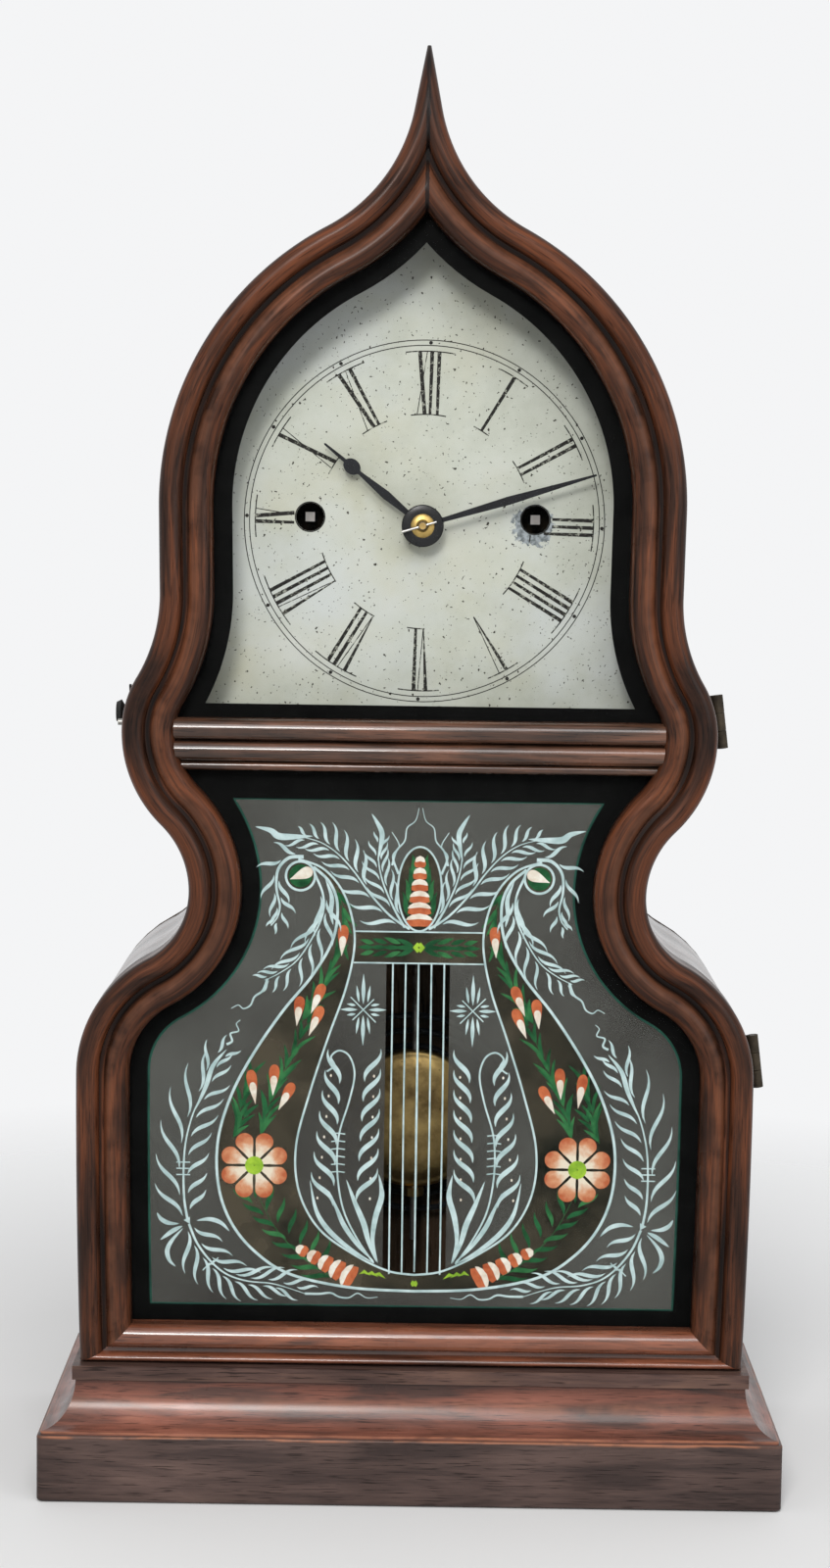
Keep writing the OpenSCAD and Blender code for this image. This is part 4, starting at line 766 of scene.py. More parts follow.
dial_look, tree, shader = new_material("dial_paint")
vector = place_of(tree)
clouds = noise(tree, vector, 26.0, 6.0, 0.64)
colour = ramp(tree, clouds, (0.30, (0.420, 0.440, 0.370)), (0.50, (0.520, 0.545, 0.475)),
              (0.70, (0.580, 0.600, 0.545)))
stain = noise(tree, vector, 11.0, 5.0, 0.6)
colour = mix(tree, ramp(tree, stain, (0.50, 0.0), (0.75, 0.65)), colour, (0.47, 0.45, 0.30))
chalk = noise(tree, vector, 19.0, 5.0, 0.6)
colour = mix(tree, ramp(tree, chalk, (0.48, 0.0), (0.68, 0.75)), colour, (0.565, 0.600, 0.590))
crooked = shaken(tree, vector, 900.0, 0.0018)
for cells, size in FLECKS:
    colour = mix(tree, speckle(tree, crooked, cells, size), colour, (0.035, 0.030, 0.022))
zinc = ramp(tree, noise(tree, vector, 600.0), (0.4, (0.12, 0.14, 0.145)), (0.6, (0.33, 0.37, 0.39)))
colour = mix(tree, near(tree, vector, SCRAPED, SCRAPED_R, SCRAPED_EDGE), colour, zinc)
tree.links.new(colour, shader.inputs["Base Color"])
gloss(shader, 0.55, specular=0.3)
bump(tree, shader, clouds, 0.2, 0.0003)

ink, tree, shader = new_material("worn_ink")
worn = noise(tree, place_of(tree), 760.0, 4.0, 0.7)
tree.links.new(ramp(tree, worn, (0.55, (0.016, 0.015, 0.013)), (0.61, (0.30, 0.31, 0.26))),
               shader.inputs["Base Color"])
gloss(shader, 0.7, specular=0.2)

fine_ink = paint("fine_ink", (0.030, 0.028, 0.024), (0.012, 0.011, 0.010), 0.7, 300.0, 0.2)
print("dial's centre and right hole, in mm:", DIAL_CENTRE, RIGHT_HOLE)

# %% [markdown]
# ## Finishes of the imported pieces
#
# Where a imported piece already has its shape, it keeps it and only takes a finish.

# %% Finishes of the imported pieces
FINISHES = {
    plinth_front_look: ["plinth_front"], plinth_side_look: ["plinth_sides"],
    cove_front_look: ["cove_front"], cove_side_look: ["cove_sides"],
    board_look: ["base_top_board", "door_mid_rail", "door_bottom_rail"],
    case_look: ["case_side_left", "case_side_right", "door_stile_left", "door_stile_right"],
    pine_look: ["base_bottom_board", "base_back_board", "base_glue_blocks", "backboard",
                "dial_blocks", "movement_posts", "glazing_strips"],
    dial_look: ["dial_plate"], clear_glass: ["upper_glass"], tablet_glass: ["lower_glass_tablet"],
    brass: ["dial_screws", "suspension_cock", "time_great_wheel", "second_wheel", "centre_wheel",
            "third_wheel", "escape_wheel", "minute_wheel", "hour_wheel", "strike_great_wheel",
            "pin_wheel", "warning_wheel", "strike_fly", "pendulum_bob", "rating_nut"],
    dark_brass: ["hinge_case_leaves", "hinge_door_leaves"],
    shaded_plate_brass: ["movement_front_plate", "movement_back_plate"],
    bright_brass: ["hinge_case_screws", "hinge_door_screws", "cannon_pinion", "hand_washer"],
    steel: ["hinge_pins", "latch_stud", "movement_pillars", "mainsprings", "verge_and_crutch",
            "strike_hammer", "pendulum_rod"],
    bright_steel: ["hand_taper_pin"], arbor_steel: ["time_winding_arbor", "strike_winding_arbor"],
    blued_steel: ["minute_hand", "hour_hand", "gong_coil"],
    iron: ["latch_knob", "latch_hook", "gong_block"],
}
for look, names in FINISHES.items():
    for name in names:
        NODES[name].data.materials.clear()
        NODES[name].data.materials.append(look)
print("finished pieces:", sum(len(names) for names in FINISHES.values()))

# %% [markdown]
# ## Base
#
# The plinth and the cove are mouldings mitred at the front corners, whose arrises a century and a
# half of dusting has rounded. One section is swept round three sides of the base with a small turn
# at each corner, and is then cut at the mitres into a front piece and two sides.

# %% Base
BASE_LOW, BASE_HIGH = box_mm("plinth_sides")
COVE_LOW, COVE_HIGH = box_mm("cove_sides")
BACK = BASE_HIGH[1]
PLINTH_T, PLINTH_TURN, ARRIS = 20.0, 2.4, 0.9
COVE_T, COVE_TURN, COVE_LIP, COVE_IN = 19.0, 2.0, 1.2, 11.5
SIDE_STEPS, TURN_STEPS = 6, 8


def base_ring(name, section, half, front, corner, look):
    """Sweeps (inset, z) points round the base and parts them at the mitres."""
    rings = []
    for i in range(SIDE_STEPS, 0, -1):
        y = front + corner + (BACK - front - corner) * i / SIDE_STEPS
        rings.append([(half - inset, y, z) for inset, z in section])
    for i in range(TURN_STEPS + 1):
        a = math.radians(90 * i / TURN_STEPS)
        ring = []
        for inset, z in section:
            bend = max(corner - inset, 0.0)
            deep = max(corner, inset)
            ring.append((half - deep + bend * math.cos(a), front + deep - bend * math.sin(a), z))
        rings.append(ring)
    rings += [[(x, front + inset, z) for inset, z in section] for x in (0.5 * half, 0.0)]
    rings += [[(-x, y, z) for x, y, z in ring] for ring in rings[-2::-1]]
    whole = sweep(name, rings, lengths([ring[1][:2] for ring in rings]), lengths(section))
    front_piece = cut(whole.copy(), (half, front, 0), (1, 1, 0))
    front_piece = cut(front_piece, (-half, front, 0), (-1, 1, 0))
    piece(f"{name}_front_moulding", front_piece, look, "case", [f"{name}_front"])
    for side, word, nodes in ((1, "right", [f"{name}_sides"]), (-1, "left", ())):
        part = cut(whole.copy(), (side * half, front, 0), (-side, -1, 0))
        part = cut(part, (0, 0, 0), (-side, 0, 0))
        piece(f"{name}_{word}_moulding", part, look, "case", nodes)


half, top = BASE_HIGH[0], BASE_HIGH[2]
section = [(0.5, 0.0), (0.0, 0.5), (0.0, 0.5 * top), (0.0, top - ARRIS)]
section += [(ARRIS - x, top - ARRIS + z) for x, z in arc(0, 0, ARRIS, 0, 90, 5)[1:]]
section += [(PLINTH_T, top), (PLINTH_T, 0.0)]
arris_at = lengths(section)[5]
# Painted shade darkens the plinth's face towards its foot; its arris is rubbed light.
plinth_look = wood("plinth_moulding", PLINTH_WOOD, "grain", 0.34, shade_bands=((0.0, 0.7), (0.05, 1.0)),
                   rubbed_and_lit=((arris_at, 0.6, 0.8),), streak=0.6)
base_ring("plinth", section, half, BASE_LOW[1], PLINTH_TURN, plinth_look)

rise = COVE_HIGH[2] - COVE_LOW[2]
lip_top = COVE_LOW[2] + COVE_LIP
section = [(COVE_LIP / 2, COVE_LOW[2]), (COVE_LIP / 2, lip_top - 0.15)]
for i in range(17):
    a = math.radians(90 * i / 16)
    section.append((COVE_LIP + (COVE_IN - COVE_LIP) * math.sin(a),
                    lip_top + (rise - COVE_LIP) * (1 - math.cos(a))))
cove_end = lengths(section)[-1]
section += [(COVE_T, COVE_HIGH[2]), (COVE_T, COVE_LOW[2])]
# Painted shade darkens the top of the cove, in the recess under the top board.
cove_shade = ((0.0, 1.0), ((cove_end - 5.0) / ACROSS_SPAN, 1.0), ((cove_end - 0.5) / ACROSS_SPAN, 0.5))
cove_look = wood("cove_moulding", RED_WOOD, "grain", 0.30, shade_bands=cove_shade, coat=0.4, streak=0.55,
                 rubbed_and_lit=((0.9, 0.6, 0.8), (0.62 * cove_end, 3.2, 0.25)))
base_ring("cove", section, COVE_HIGH[0], COVE_LOW[1], COVE_TURN, cove_look)

# %% [markdown]
# ## Door mouldings
#
# The stile's section has a broad outer bead, a deep groove, a narrow inner bead and a step to the
# glass. Real makers bent the wood in steam; here the section is swept along the outline, cut
# upright at the peak and mitred at the foot. Painted shade darkens the groove and the foot of each
# bead, and dirt darkens the open joint at the peak and the tip of the spire.

# %% Section of the stile
STILE_W, DOOR_T = 18.0, 18.0
REBATE_W, REBATE_D = 5.0, 8.5
BACK_Y = box_mm("upper_glass")[0][1] + REBATE_D
OUTER_R, INNER_R = STILE_W * 0.222, STILE_W * 0.236
BOTTOM_RAIL_H, MID_RAIL_H, MID_RAIL_Z = 12.8, 18.0, 250.0
FILLET_AT, FILLET_UP = 2 * OUTER_R + 0.5, 0.27 * BOTTOM_RAIL_H
MITRE_IN = FOOT_HW - edge_x(DOOR_Z + BOTTOM_RAIL_H) + STILE_W

outer_bead = arc(OUTER_R, DOOR_T - OUTER_R, OUTER_R, 180, 4, 22)
inner_bead = arc(STILE_W - INNER_R, DOOR_T - 0.1 - INNER_R, INNER_R, 176, 0, 22)
stile_section = [(0.0, 0.0)] + outer_bead + inner_bead
groove_at = lengths(stile_section)[len(outer_bead)] + 0.6
inner_end = lengths(stile_section)[-1]
stile_section += [(STILE_W, REBATE_D), (STILE_W - REBATE_W, REBATE_D), (STILE_W - REBATE_W, 0.0)]


def rail_up(s):
    """Height in the bottom rail of a point of the section; the outer bead is squeezed low."""
    if s < FILLET_AT:
        return FILLET_UP * s / FILLET_AT
    return FILLET_UP + (BOTTOM_RAIL_H - FILLET_UP) * (s - FILLET_AT) / (STILE_W - FILLET_AT)


def foot_x(d):
    """Half width of the door's mitred foot at a point of the section."""
    return FOOT_HW - d * MITRE_IN / STILE_W


def hollow_shade(*hollows):
    """Painted shade at a section's hollows: (place, width, shade), in millimetres across it."""
    stops = [(0.0, 0.75), (0.06, 1.0)]
    for place, width, shade in hollows:
        stops += [((place - width) / ACROSS_SPAN, 1.0), ((place - 0.35) / ACROSS_SPAN, shade),
                  ((place + 0.35) / ACROSS_SPAN, shade), ((place + 0.6 * width) / ACROSS_SPAN, 1.0)]
    return stops


print("groove and inner bead's end, in mm across:", round(groove_at, 1), round(inner_end, 1))

# %% [markdown]
# ## Stiles
#
# The right stile is swept along the outline, from the foot to the tip of the spire, and mirrored
# for the left one. The joint at the peak and the tip are veiled with dirt of a ragged edge.

# %% Stiles
JOINT_W, JOINT_SHADE = 1.3, 0.85
TIP_LOW, TIP_HIGH, TIP_SHADE = 0.458, 0.488, 0.75

# Painted shade darkens the outer edge, the groove and the foot of the inner bead. The band on the
# inner bead's crest is wear and a painted highlight.
moulding_look = wood("moulding_veneer", ROSEWOOD, "grain", 0.30,
                     hollow_shade((groove_at, 1.3, 0.22), (inner_end + 4.0, 2.0, 0.4)),
                     rubbed_and_lit=((groove_at + 5.0, 3.4, 0.17),))
tree = moulding_look.node_tree
vector = place_of(tree)
x, y, z = axes(tree, vector)
ragged = calc(tree, "MULTIPLY", noise(tree, vector, 300.0, 4.0, 0.7), JOINT_W * MM)
joint = calc(tree, "LESS_THAN", calc(tree, "ABSOLUTE", x), ragged)
tip = ramp(tree, calc(tree, "ADD", z, ragged), (TIP_LOW, 0.0), (TIP_HIGH, TIP_SHADE))
veil(moulding_look, calc(tree, "MAXIMUM", calc(tree, "MULTIPLY", joint, JOINT_SHADE), tip))

side = outline(26)
side = side[:1] + [p for p in side if p[1] > DOOR_Z + BOTTOM_RAIL_H + 1.0]
rings = [[(x + nx * d, BACK_Y - h, z + nz * d) for d, h in stile_section]
         for (x, z), (nx, nz) in zip(side, inward(side))]
rings[0] = [(foot_x(d), BACK_Y - h, DOOR_Z + rail_up(d)) for d, h in stile_section]
stile = sweep("stile", rings, lengths(side), lengths(stile_section))
cut(stile, (0, 0, 0), (-1, 0, 0))
pair("stile_{}_moulding", stile, moulding_look, "door", "door_stile_{}")

# %% [markdown]
# ## Rails
#
# The bottom rail has the stiles' section, squeezed lower. The middle rail has two broad beads and a
# narrow one below them, and behind them it is narrower by a rebate above and below, which hold the
# edges of the two glasses. Both are straight, so one function sweeps either from side to side.

# %% Rails
RAIL_SHARES = [-1 + 2 * i / 30 for i in range(31)]


def straight_rail(name, section, half_at, z_at, look, grain_start, grain_run):
    """A rail of the door; half_at and z_at give its half width and height across the section."""
    rings = [[(share * half_at(d, h), BACK_Y - h, z_at(d)) for d, h in section]
             for share in RAIL_SHARES]
    along = [grain_start + grain_run * share for share in RAIL_SHARES]
    rail = sweep(name, rings, along, lengths(section))
    piece(f"{name}_moulding", rail, look, "door", [f"door_{name}"])


def mid_half(d, h):
    """Half width of the middle rail, which meets the stiles and ends in their rebates behind."""
    inset = STILE_W - 0.3 if h >= REBATE_D else STILE_W - REBATE_W + 0.05
    return edge_x(MID_RAIL_Z + d) - inset


# Painted shade darkens the bottom rail's groove.
rail_look = wood("bottom_rail_veneer", RAIL_WOOD, "grain", 0.24, hollow_shade((groove_at, 1.2, 0.55)),
                 coat=1.0, streak=0.6, polish=0.16)
straight_rail("bottom_rail", stile_section, lambda d, h: foot_x(d), lambda d: DOOR_Z + rail_up(d),
              rail_look, 900, 105)

MID_BACK = REBATE_W, MID_RAIL_H - REBATE_W
mid_section = [(MID_BACK[0], 0.0), (MID_BACK[0], REBATE_D), (0.15, REBATE_D)]
mid_section += arc(1.65, 12.5, 1.5, 180, 25, 10)
mid_hollows = [lengths(mid_section)[-1] + 0.4]
mid_section += arc(6.85, 13.4, 3.4, 168, 12, 16)
mid_hollows.append(lengths(mid_section)[-1])
mid_section += arc(14.12, 13.07, 3.73, 168, 0, 18)
mid_section += [(MID_RAIL_H - 0.15, REBATE_D), (MID_BACK[1], REBATE_D), (MID_BACK[1], 0.0)]
# Painted shade darkens the two hollows between the middle rail's beads.
mid_look = wood("mid_rail_veneer", MID_WOOD, "grain", 0.22,
                hollow_shade((mid_hollows[0], 1.0, 0.10), (mid_hollows[1], 1.8, 0.12)),
                coat=0.7, polish=0.1)
straight_rail("mid_rail", mid_section, mid_half, lambda d: MID_RAIL_Z + d, mid_look, 1500, 85)

# %% [markdown]
# ## Case sides
#
# Each side of the case is a thin board bent to the same outline, with polished veneer that shines
# more than the door. It is swept too, so that its figure runs round the bend.

# %% Case sides
SIDE_INSET, SIDE_T, EASED = 0.5, 7.0, 0.4
case_low, case_high = box_mm("case_side_right")
front_y, back_y = case_low[1], case_high[1]
strip = [(0, back_y), (0, front_y + EASED), (EASED, front_y), (SIDE_T - EASED, front_y),
         (SIDE_T, front_y + EASED), (SIDE_T, back_y)]
side = outline(24, below=10.0)
normals = inward(side)
normals[0] = normals[1] = (-1.0, 0.0)
rings = [[(x + nx * (SIDE_INSET + d), y, z + nz * (SIDE_INSET + d)) for d, y in strip]
         for (x, z), (nx, nz) in zip(side, normals)]
board = sweep("case_side", rings, lengths(side), lengths(strip))
cut(board, (0, 0, 0), (-1, 0, 0))
cut(board, (0, 0, case_low[2]), (0, 0, -1))
pair("case_side_{}_board", board, case_look, "case", "case_side_{}")

# %% [markdown]
# ## Painted borders behind the glass
#
# Both glasses have a black border painted on the back, inside the mouldings, and the tablet has a
# fine dark green line at the border's inner edge. Behind its pictures lies a thin smoky ground that
# lets the bob show through, with a clear strip left open behind the strings.

# %% Painted borders
UPPER_GLASS, TABLET = box_mm("upper_glass"), box_mm("lower_glass_tablet")
GLASS_BACK = TABLET[1][1]
GLASS_IN, BORDER_IN = 13.5, 24.3
UPPER_BAND_Z, TABLET_LOW, TABLET_HIGH = 272.4, 62.8, 239.7
ABOVE_ALL = 600.0
MIDDLE_X = 0.8
STRIP = [(-10.3, 74.5), (11.6, 74.5), (11.6, 184.0), (-10.3, 184.0)]

# How many steps each paint lies behind the glass: what was painted first is nearest.
LAYER_STEP = 0.03
LAYERS = {"pale": 0.6, "upper_border": 1, "lime": 1.2, "cream": 1.6, "green_line": 2,
          "petals": 2.4, "orange": 2.6, "tablet_border": 3, "light_leaf": 3.4, "leaf": 4.2,
          "dark_ground": 5, "smoke": 6}


def closed(half):
    """A closed line from one half, given from foot to top."""
    return half + [(-x, z) for x, z in reversed(half) if x > 0.01]


def behind(paint_name):
    """How deep an area of paint lies."""
    return GLASS_BACK + LAYER_STEP * LAYERS[paint_name]


def painted(name, outer, holes, paint_name, look):
    """An even area of paint behind a glass."""
    piece(name, film(name, outer, holes, behind(paint_name)), look, "door")


upper_edge = closed(drawn_in(GLASS_IN, UPPER_GLASS[0][2] + 0.2, ABOVE_ALL))
upper_sight = closed(drawn_in(BORDER_IN, UPPER_BAND_Z, ABOVE_ALL))
tablet_edge = closed(drawn_in(GLASS_IN, TABLET[0][2] + 0.2, TABLET[1][2] - 0.2))
tablet_sight = closed(drawn_in(BORDER_IN, TABLET_LOW, TABLET_HIGH))
ground_edge = closed(drawn_in(BORDER_IN - 1.0, TABLET_LOW - 1.0, TABLET_HIGH + 1.0))
painted("upper_black_border", upper_edge, [upper_sight], "upper_border", black_paint)
painted("tablet_black_border", tablet_edge, [tablet_sight], "tablet_border", black_paint)
painted("tablet_smoky_ground", ground_edge, [STRIP], "smoke", smoke_paint)

# %% [markdown]
# ## Brush strokes
#
# The tablet's ornament is brushwork: single strokes that swell and taper. A curve with a radius at
# each point is just such a stroke, so every motif below is a list of strokes. All strokes of one
# colour become one mesh, pressed nearly flat against the glass.

# %% Brush strokes
STROKES = {}


def smooth_line(points, steps=8):
    """Rounds a line through its points."""
    ends = [points[0]] + list(points) + [points[-1]]
    result = []
    for p0, p1, p2, p3 in zip(ends, ends[1:], ends[2:], ends[3:]):
        for i in range(steps):
            t = i / steps
            result.append(tuple(0.5 * (2 * b + (c - a) * t + (2 * a - 5 * b + 4 * c - d) * t * t
                                       + (3 * b - a - 3 * c + d) * t ** 3)
                                for a, b, c, d in zip(p0, p1, p2, p3)))
    return result + [tuple(points[-1])]


def stroke(colour, points, width, shape="leaf", swell=1.0, ring=False, sides=(1, -1)):
    """Adds a stroke on each side of the tablet. x is measured outwards from its middle."""
    for side in sides:
        STROKES.setdefault(colour, []).append((points, width, shape, swell, ring, side))


def radius_at(shape, t, swell):
    """Share of the full width at a place along a stroke."""
    if shape == "leaf":
        return max(0.04, math.sin(math.pi * t ** swell) ** 0.85)
    if shape == "drop":
        return max(0.03, math.sin(math.pi * t ** 0.85))
    if shape == "tail":
        return max(0.25, 1.0 - 0.75 * t)
    if shape == "wedge":
        return swell + (1.0 - swell) * t
    return 1.0


# %% [markdown]
# ## From strokes to a mesh
#
# A curve in Blender can have a radius at each of its points. One curve takes all strokes of a
# colour, its surface becomes a mesh that is pressed flat, and the curve itself is thrown away.

# %% From strokes to a mesh


def brush(name, colour, y, material, body="door", middle=MIDDLE_X):
    """Turns the strokes of one colour into a mesh just behind a plane."""
    curve = bpy.data.curves.new(name, "CURVE")
    curve.dimensions = "3D"
    curve.bevel_depth = MM
    curve.bevel_resolution = 1
    curve.use_fill_caps = True
    for points, width, shape, swell, ring, side in STROKES[colour]:
        spline = curve.splines.new("POLY")
        spline.points.add(len(points) - 1)
        spline.use_cyclic_u = ring
        for i, ((x, z), point) in enumerate(zip(points, spline.points)):
            point.co = ((middle + side * x) * MM, 0, z * MM, 1)
            point.radius = width * radius_at(shape, i / (len(points) - 1), swell)
    holder = bpy.data.objects.new(name, curve)
    bpy.context.scene.collection.objects.link(holder)
    bpy.context.view_layer.update()
    settled = holder.evaluated_get(bpy.context.evaluated_depsgraph_get())
    mesh = bpy.data.meshes.new_from_object(settled)
    bpy.data.objects.remove(holder)
    bm = bmesh.new()
    bm.from_mesh(mesh)
    widest = max(abs(v.co.y) for v in bm.verts)
    bmesh.ops.scale(bm, vec=(1, PAINT_T * MM / widest, 1), verts=bm.verts)
    bmesh.ops.translate(bm, vec=(0, y * MM, 0), verts=bm.verts)
    bmesh.ops.recalc_face_normals(bm, faces=bm.faces)
    piece(name, to_mesh(bm, name), material, body, crease=60)


# %% [markdown]
# ## Barbs and feathers
#
# Most of the ornament is feathers: a stem with S-shaped barbs on both sides, longest near the
# middle. A feather is told by its stem and, for each side, by how many barbs it has, where they
# start and end, how long they are and how far they spread. The brush does the rest, as the
# painter's did.

# %% Barbs and feathers


def between(a, b, t):
    """The point at a share of the way from a to b."""
    return (a[0] + (b[0] - a[0]) * t, a[1] + (b[1] - a[1]) * t)


def polar(centre, r, a):
    """The point at a distance and an angle from a centre."""
    return (centre[0] + r * math.cos(a), centre[1] + r * math.sin(a))


def angle_to(a, b):
    """The direction from a to b."""
    return math.atan2(b[1] - a[1], b[0] - a[0])


def barb(base, heading, length, bow, width, colour="pale"):
    """One S-shaped stroke, whose ends point the same way, turned by the bow from its heading."""
    c, s = math.cos(heading - bow) * 0.45 * length, math.sin(heading - bow) * 0.45 * length
    tip = polar(base, length, heading)
    ends = (base, (base[0] + c, base[1] + s), (tip[0] - c, tip[1] - s), tip)
    points = []
    for i in range(11):
        t = i / 10
        shares = ((1 - t) ** 3, 3 * t * (1 - t) ** 2, 3 * t * t * (1 - t), t ** 3)
        points.append(tuple(sum(w * p[k] for w, p in zip(shares, ends)) for k in (0, 1)))
    stroke(colour, points, width, "leaf", 0.85)


def three(values, u):
    """A value that changes evenly from the first to the second to the third."""
    first, second, third = values
    return first + (second - first) * 2 * u if u < 0.5 else second + (third - second) * (2 * u - 1)


def feather(stem, left, right, width=0.9, stem_width=0.5, bow=0.5, gap=1.1):
    """A stem with barbs; a side is (count, start, end, three lengths, three spreads)."""
    line = smooth_line(stem)
    stroke("pale", line, stem_width, "tail")
    for side, (count, start, end, reach, spread) in ((1, left), (-1, right)):
        for i in range(count):
            u = i / (count - 1)
            k = (start + (end - start) * u) * (len(line) - 1)
            k0 = min(int(k), len(line) - 2)
            base = between(line[k0], line[k0 + 1], k - k0)
            ahead = angle_to(line[k0], line[k0 + 1])
            barb(polar(base, gap, ahead + side), ahead + side * three(spread, u), three(reach, u),
                 side * bow, width * (1.0 - 0.25 * u))


def to_tip(base, tip, bow, width, colour="pale"):
    """A barb between two points."""
    barb(base, angle_to(base, tip), math.dist(base, tip), bow, width, colour)


# %% [markdown]
# ## The lyre
#
# A lyre between leafy scrolls is among the commonest ornaments on tablets of this age. This one is
# drawn from its own few curves: two arms that swell from the scrolls to a round body, a crossbar
# and five strings. The arms hold a dark ground with leaves, buds and a rosette on each side.

# %% Lyre
SCROLL, SCROLL_R, SCROLL_GROUND_R = (41.0, 213.4), 5.0, 4.8
ARM_TOP = 216.6
ARM_OUTER = [(36.6, ARM_TOP), (31.0, 211.4), (28.2, 203.5), (29.6, 191.5), (36.5, 179.0),
             (46.5, 166.5), (56.5, 151.5), (64.0, 137.0), (68.6, 121.0), (68.4, 105.0),
             (64.0, 92.0), (55.5, 81.5), (43.0, 73.6), (22.0, 69.2), (0.0, 68.2)]
ARM_INNER = [(41.8, 219.2), (33.5, 216.2), (27.0, 209.2), (23.2, 199.5), (22.2, 189.0),
             (25.0, 174.5), (31.0, 157.0), (37.0, 138.0), (41.6, 119.0), (40.4, 103.0),
             (33.4, 90.0), (21.5, 81.2), (9.5, 75.4), (0.0, 74.0)]
BAR_LOW, BAR_HIGH, BAR_HALF = 183.6, 194.5, 22.4
STRING_GAP, STRING_FOOT = 4.42, 75.0
OVAL, OVAL_RX, OVAL_RZ = (0.0, 209.4), 7.5, 14.6

outer_line, inner_line = smooth_line(ARM_OUTER), smooth_line(ARM_INNER)
stroke("pale", outer_line, 0.55, "line")
stroke("pale", inner_line, 0.42, "line")
stroke("pale", circle(SCROLL, SCROLL_R, 32), 0.48, "line", ring=True)
for z in (BAR_LOW, BAR_HIGH):
    stroke("pale", [(x, z) for x in (0.0, 11.0, BAR_HALF)], 0.30, "line")
for i in range(3):
    x = STRING_GAP * i
    stroke("pale", [(x, STRING_FOOT - 0.4 * i), (x + 0.1, 130.0), (x, BAR_LOW)], 0.33, "line")
oval = circle(OVAL, OVAL_RX, 40, OVAL_RZ)


def on_side(points, side):
    """Points given outwards from the tablet's middle, put on its right side (1) or left (-1)."""
    return [(MIDDLE_X + side * x, z) for x, z in points]


arm = [p for p in outer_line if p[1] < ARM_TOP] + inner_line[::-1]
for side, word in ((1, "right"), (-1, "left")):
    painted(f"arm_ground_{word}", on_side(arm, side), [], "dark_ground", dark_ground)
    painted(f"scroll_ground_{word}", on_side(circle(SCROLL, SCROLL_GROUND_R, 24), side), [],
            "dark_ground", dark_ground)
stroke("pale", oval, 0.38, "line", ring=True, sides=(1,))
painted("oval_ground", on_side(oval, 1), [], "dark_ground", dark_ground)
bar = [(-BAR_HALF, BAR_LOW), (BAR_HALF, BAR_LOW), (BAR_HALF, BAR_HIGH), (-BAR_HALF, BAR_HIGH)]
painted("crossbar_ground", on_side(bar, 1), [], "dark_ground", dark_ground)

# %% [markdown]
# ## Leaves and buds
#
# Leaves are slender green strokes in pairs along a thin stem. A bud is a round orange drop with a
# cream tip over it. Each sprig is told by its stem, the number of its pairs, and the size and
# spread of its leaves; a little chance makes every leaf differ.

# %% Leaves and buds
dice = random.Random(5)


def sprig(stem, count, length, spread, width):
    """Pairs of leaves along a stem in two greens."""
    line = smooth_line(stem, 6)
    for i in range(count):
        k = int((len(line) - 2) * (i + 0.5) / count)
        base = line[k]
        ahead = angle_to(base, line[k + 1])
        for side in (1, -1):
            a = ahead + side * (spread + dice.uniform(-0.12, 0.12))
            size = length * dice.uniform(0.8, 1.15)
            tip = polar(base, size, a)
            sag = (0.5 * (base[0] + tip[0]) + side * 0.07 * size * math.sin(a),
                   0.5 * (base[1] + tip[1]) - side * 0.07 * size * math.cos(a))
            colour = "light_leaf" if dice.random() < 0.35 else "leaf"
            stroke(colour, smooth_line([base, sag, tip], 5), width, "leaf", 0.8)
    stroke("light_leaf", line, 0.14, "tail")


def eased(a, b, steps=12):
    """Points from a to b that lie closer together near a, where a drop is round."""
    return [between(a, b, (i / steps) ** 1.7) for i in range(steps + 1)]


def bud(head, tip, size):
    """An orange drop with a cream streak and tip."""
    stroke("orange", eased(head, tip), size, "drop")
    stroke("cream", eased(between(head, tip, 0.36), tip), size * 0.66, "drop")


def green(light):
    """The lighter green or the common one."""
    return "light_leaf" if light else "leaf"


# %% [markdown]
# ## Rosettes
#
# A rosette has eight petals that pass from cream at the centre to orange at the rim. One outline is
# turned eight times, and the paint's colour follows the distance from the centre.

# %% Rosettes
ROSETTE, ROSETTE_R, ROSETTE_EYE = (56.0, 112.0), 12.5, 1.7
PETAL_END, PETAL_R = 8.9, 3.15
PETAL = [(2.6, 0.65), (5.0, 1.5), (7.2, 2.55)] + arc(PETAL_END, 0.0, PETAL_R, 90, 0, 6)


def rosette(centre, count):
    """Outlines of petals round a centre on both sides: wedges with a round end."""
    around = PETAL + [(r, -w) for r, w in reversed(PETAL[:-1])]
    lines = []
    for side in (1, -1):
        for i in range(count):
            a = math.tau * (i + 0.5) / count
            c, s = math.cos(a), math.sin(a)
            petal = [(centre[0] + r * c - w * s, centre[1] + r * s + w * c) for r, w in around]
            lines.append(on_side(petal, side))
    return lines


petal_look, tree, shader = new_material("petal_paint")
vector = place_of(tree)
x, y, z = axes(tree, vector)
outwards = calc(tree, "ABSOLUTE", calc(tree, "SUBTRACT", x, MIDDLE_X * MM))
across = calc(tree, "SUBTRACT", outwards, ROSETTE[0] * MM)
height = calc(tree, "SUBTRACT", z, ROSETTE[1] * MM)
radius = calc(tree, "SQRT", calc(tree, "ADD", calc(tree, "MULTIPLY", across, across),
                                 calc(tree, "MULTIPLY", height, height)))
streaks = calc(tree, "SUBTRACT", noise(tree, vector, 420.0, 4.0), 0.5)
radius = calc(tree, "ADD", calc(tree, "DIVIDE", radius, ROSETTE_R * MM),
              calc(tree, "MULTIPLY", streaks, 0.6))
petal_colour = ramp(tree, radius, (0.42, (0.72, 0.64, 0.50)), (0.68, (0.58, 0.27, 0.14)),
                    (0.92, (0.42, 0.105, 0.040)))
tree.links.new(petal_colour, shader.inputs["Base Color"])
gloss(shader, 0.5, specular=0.2)
petals = rosette(ROSETTE, 8)
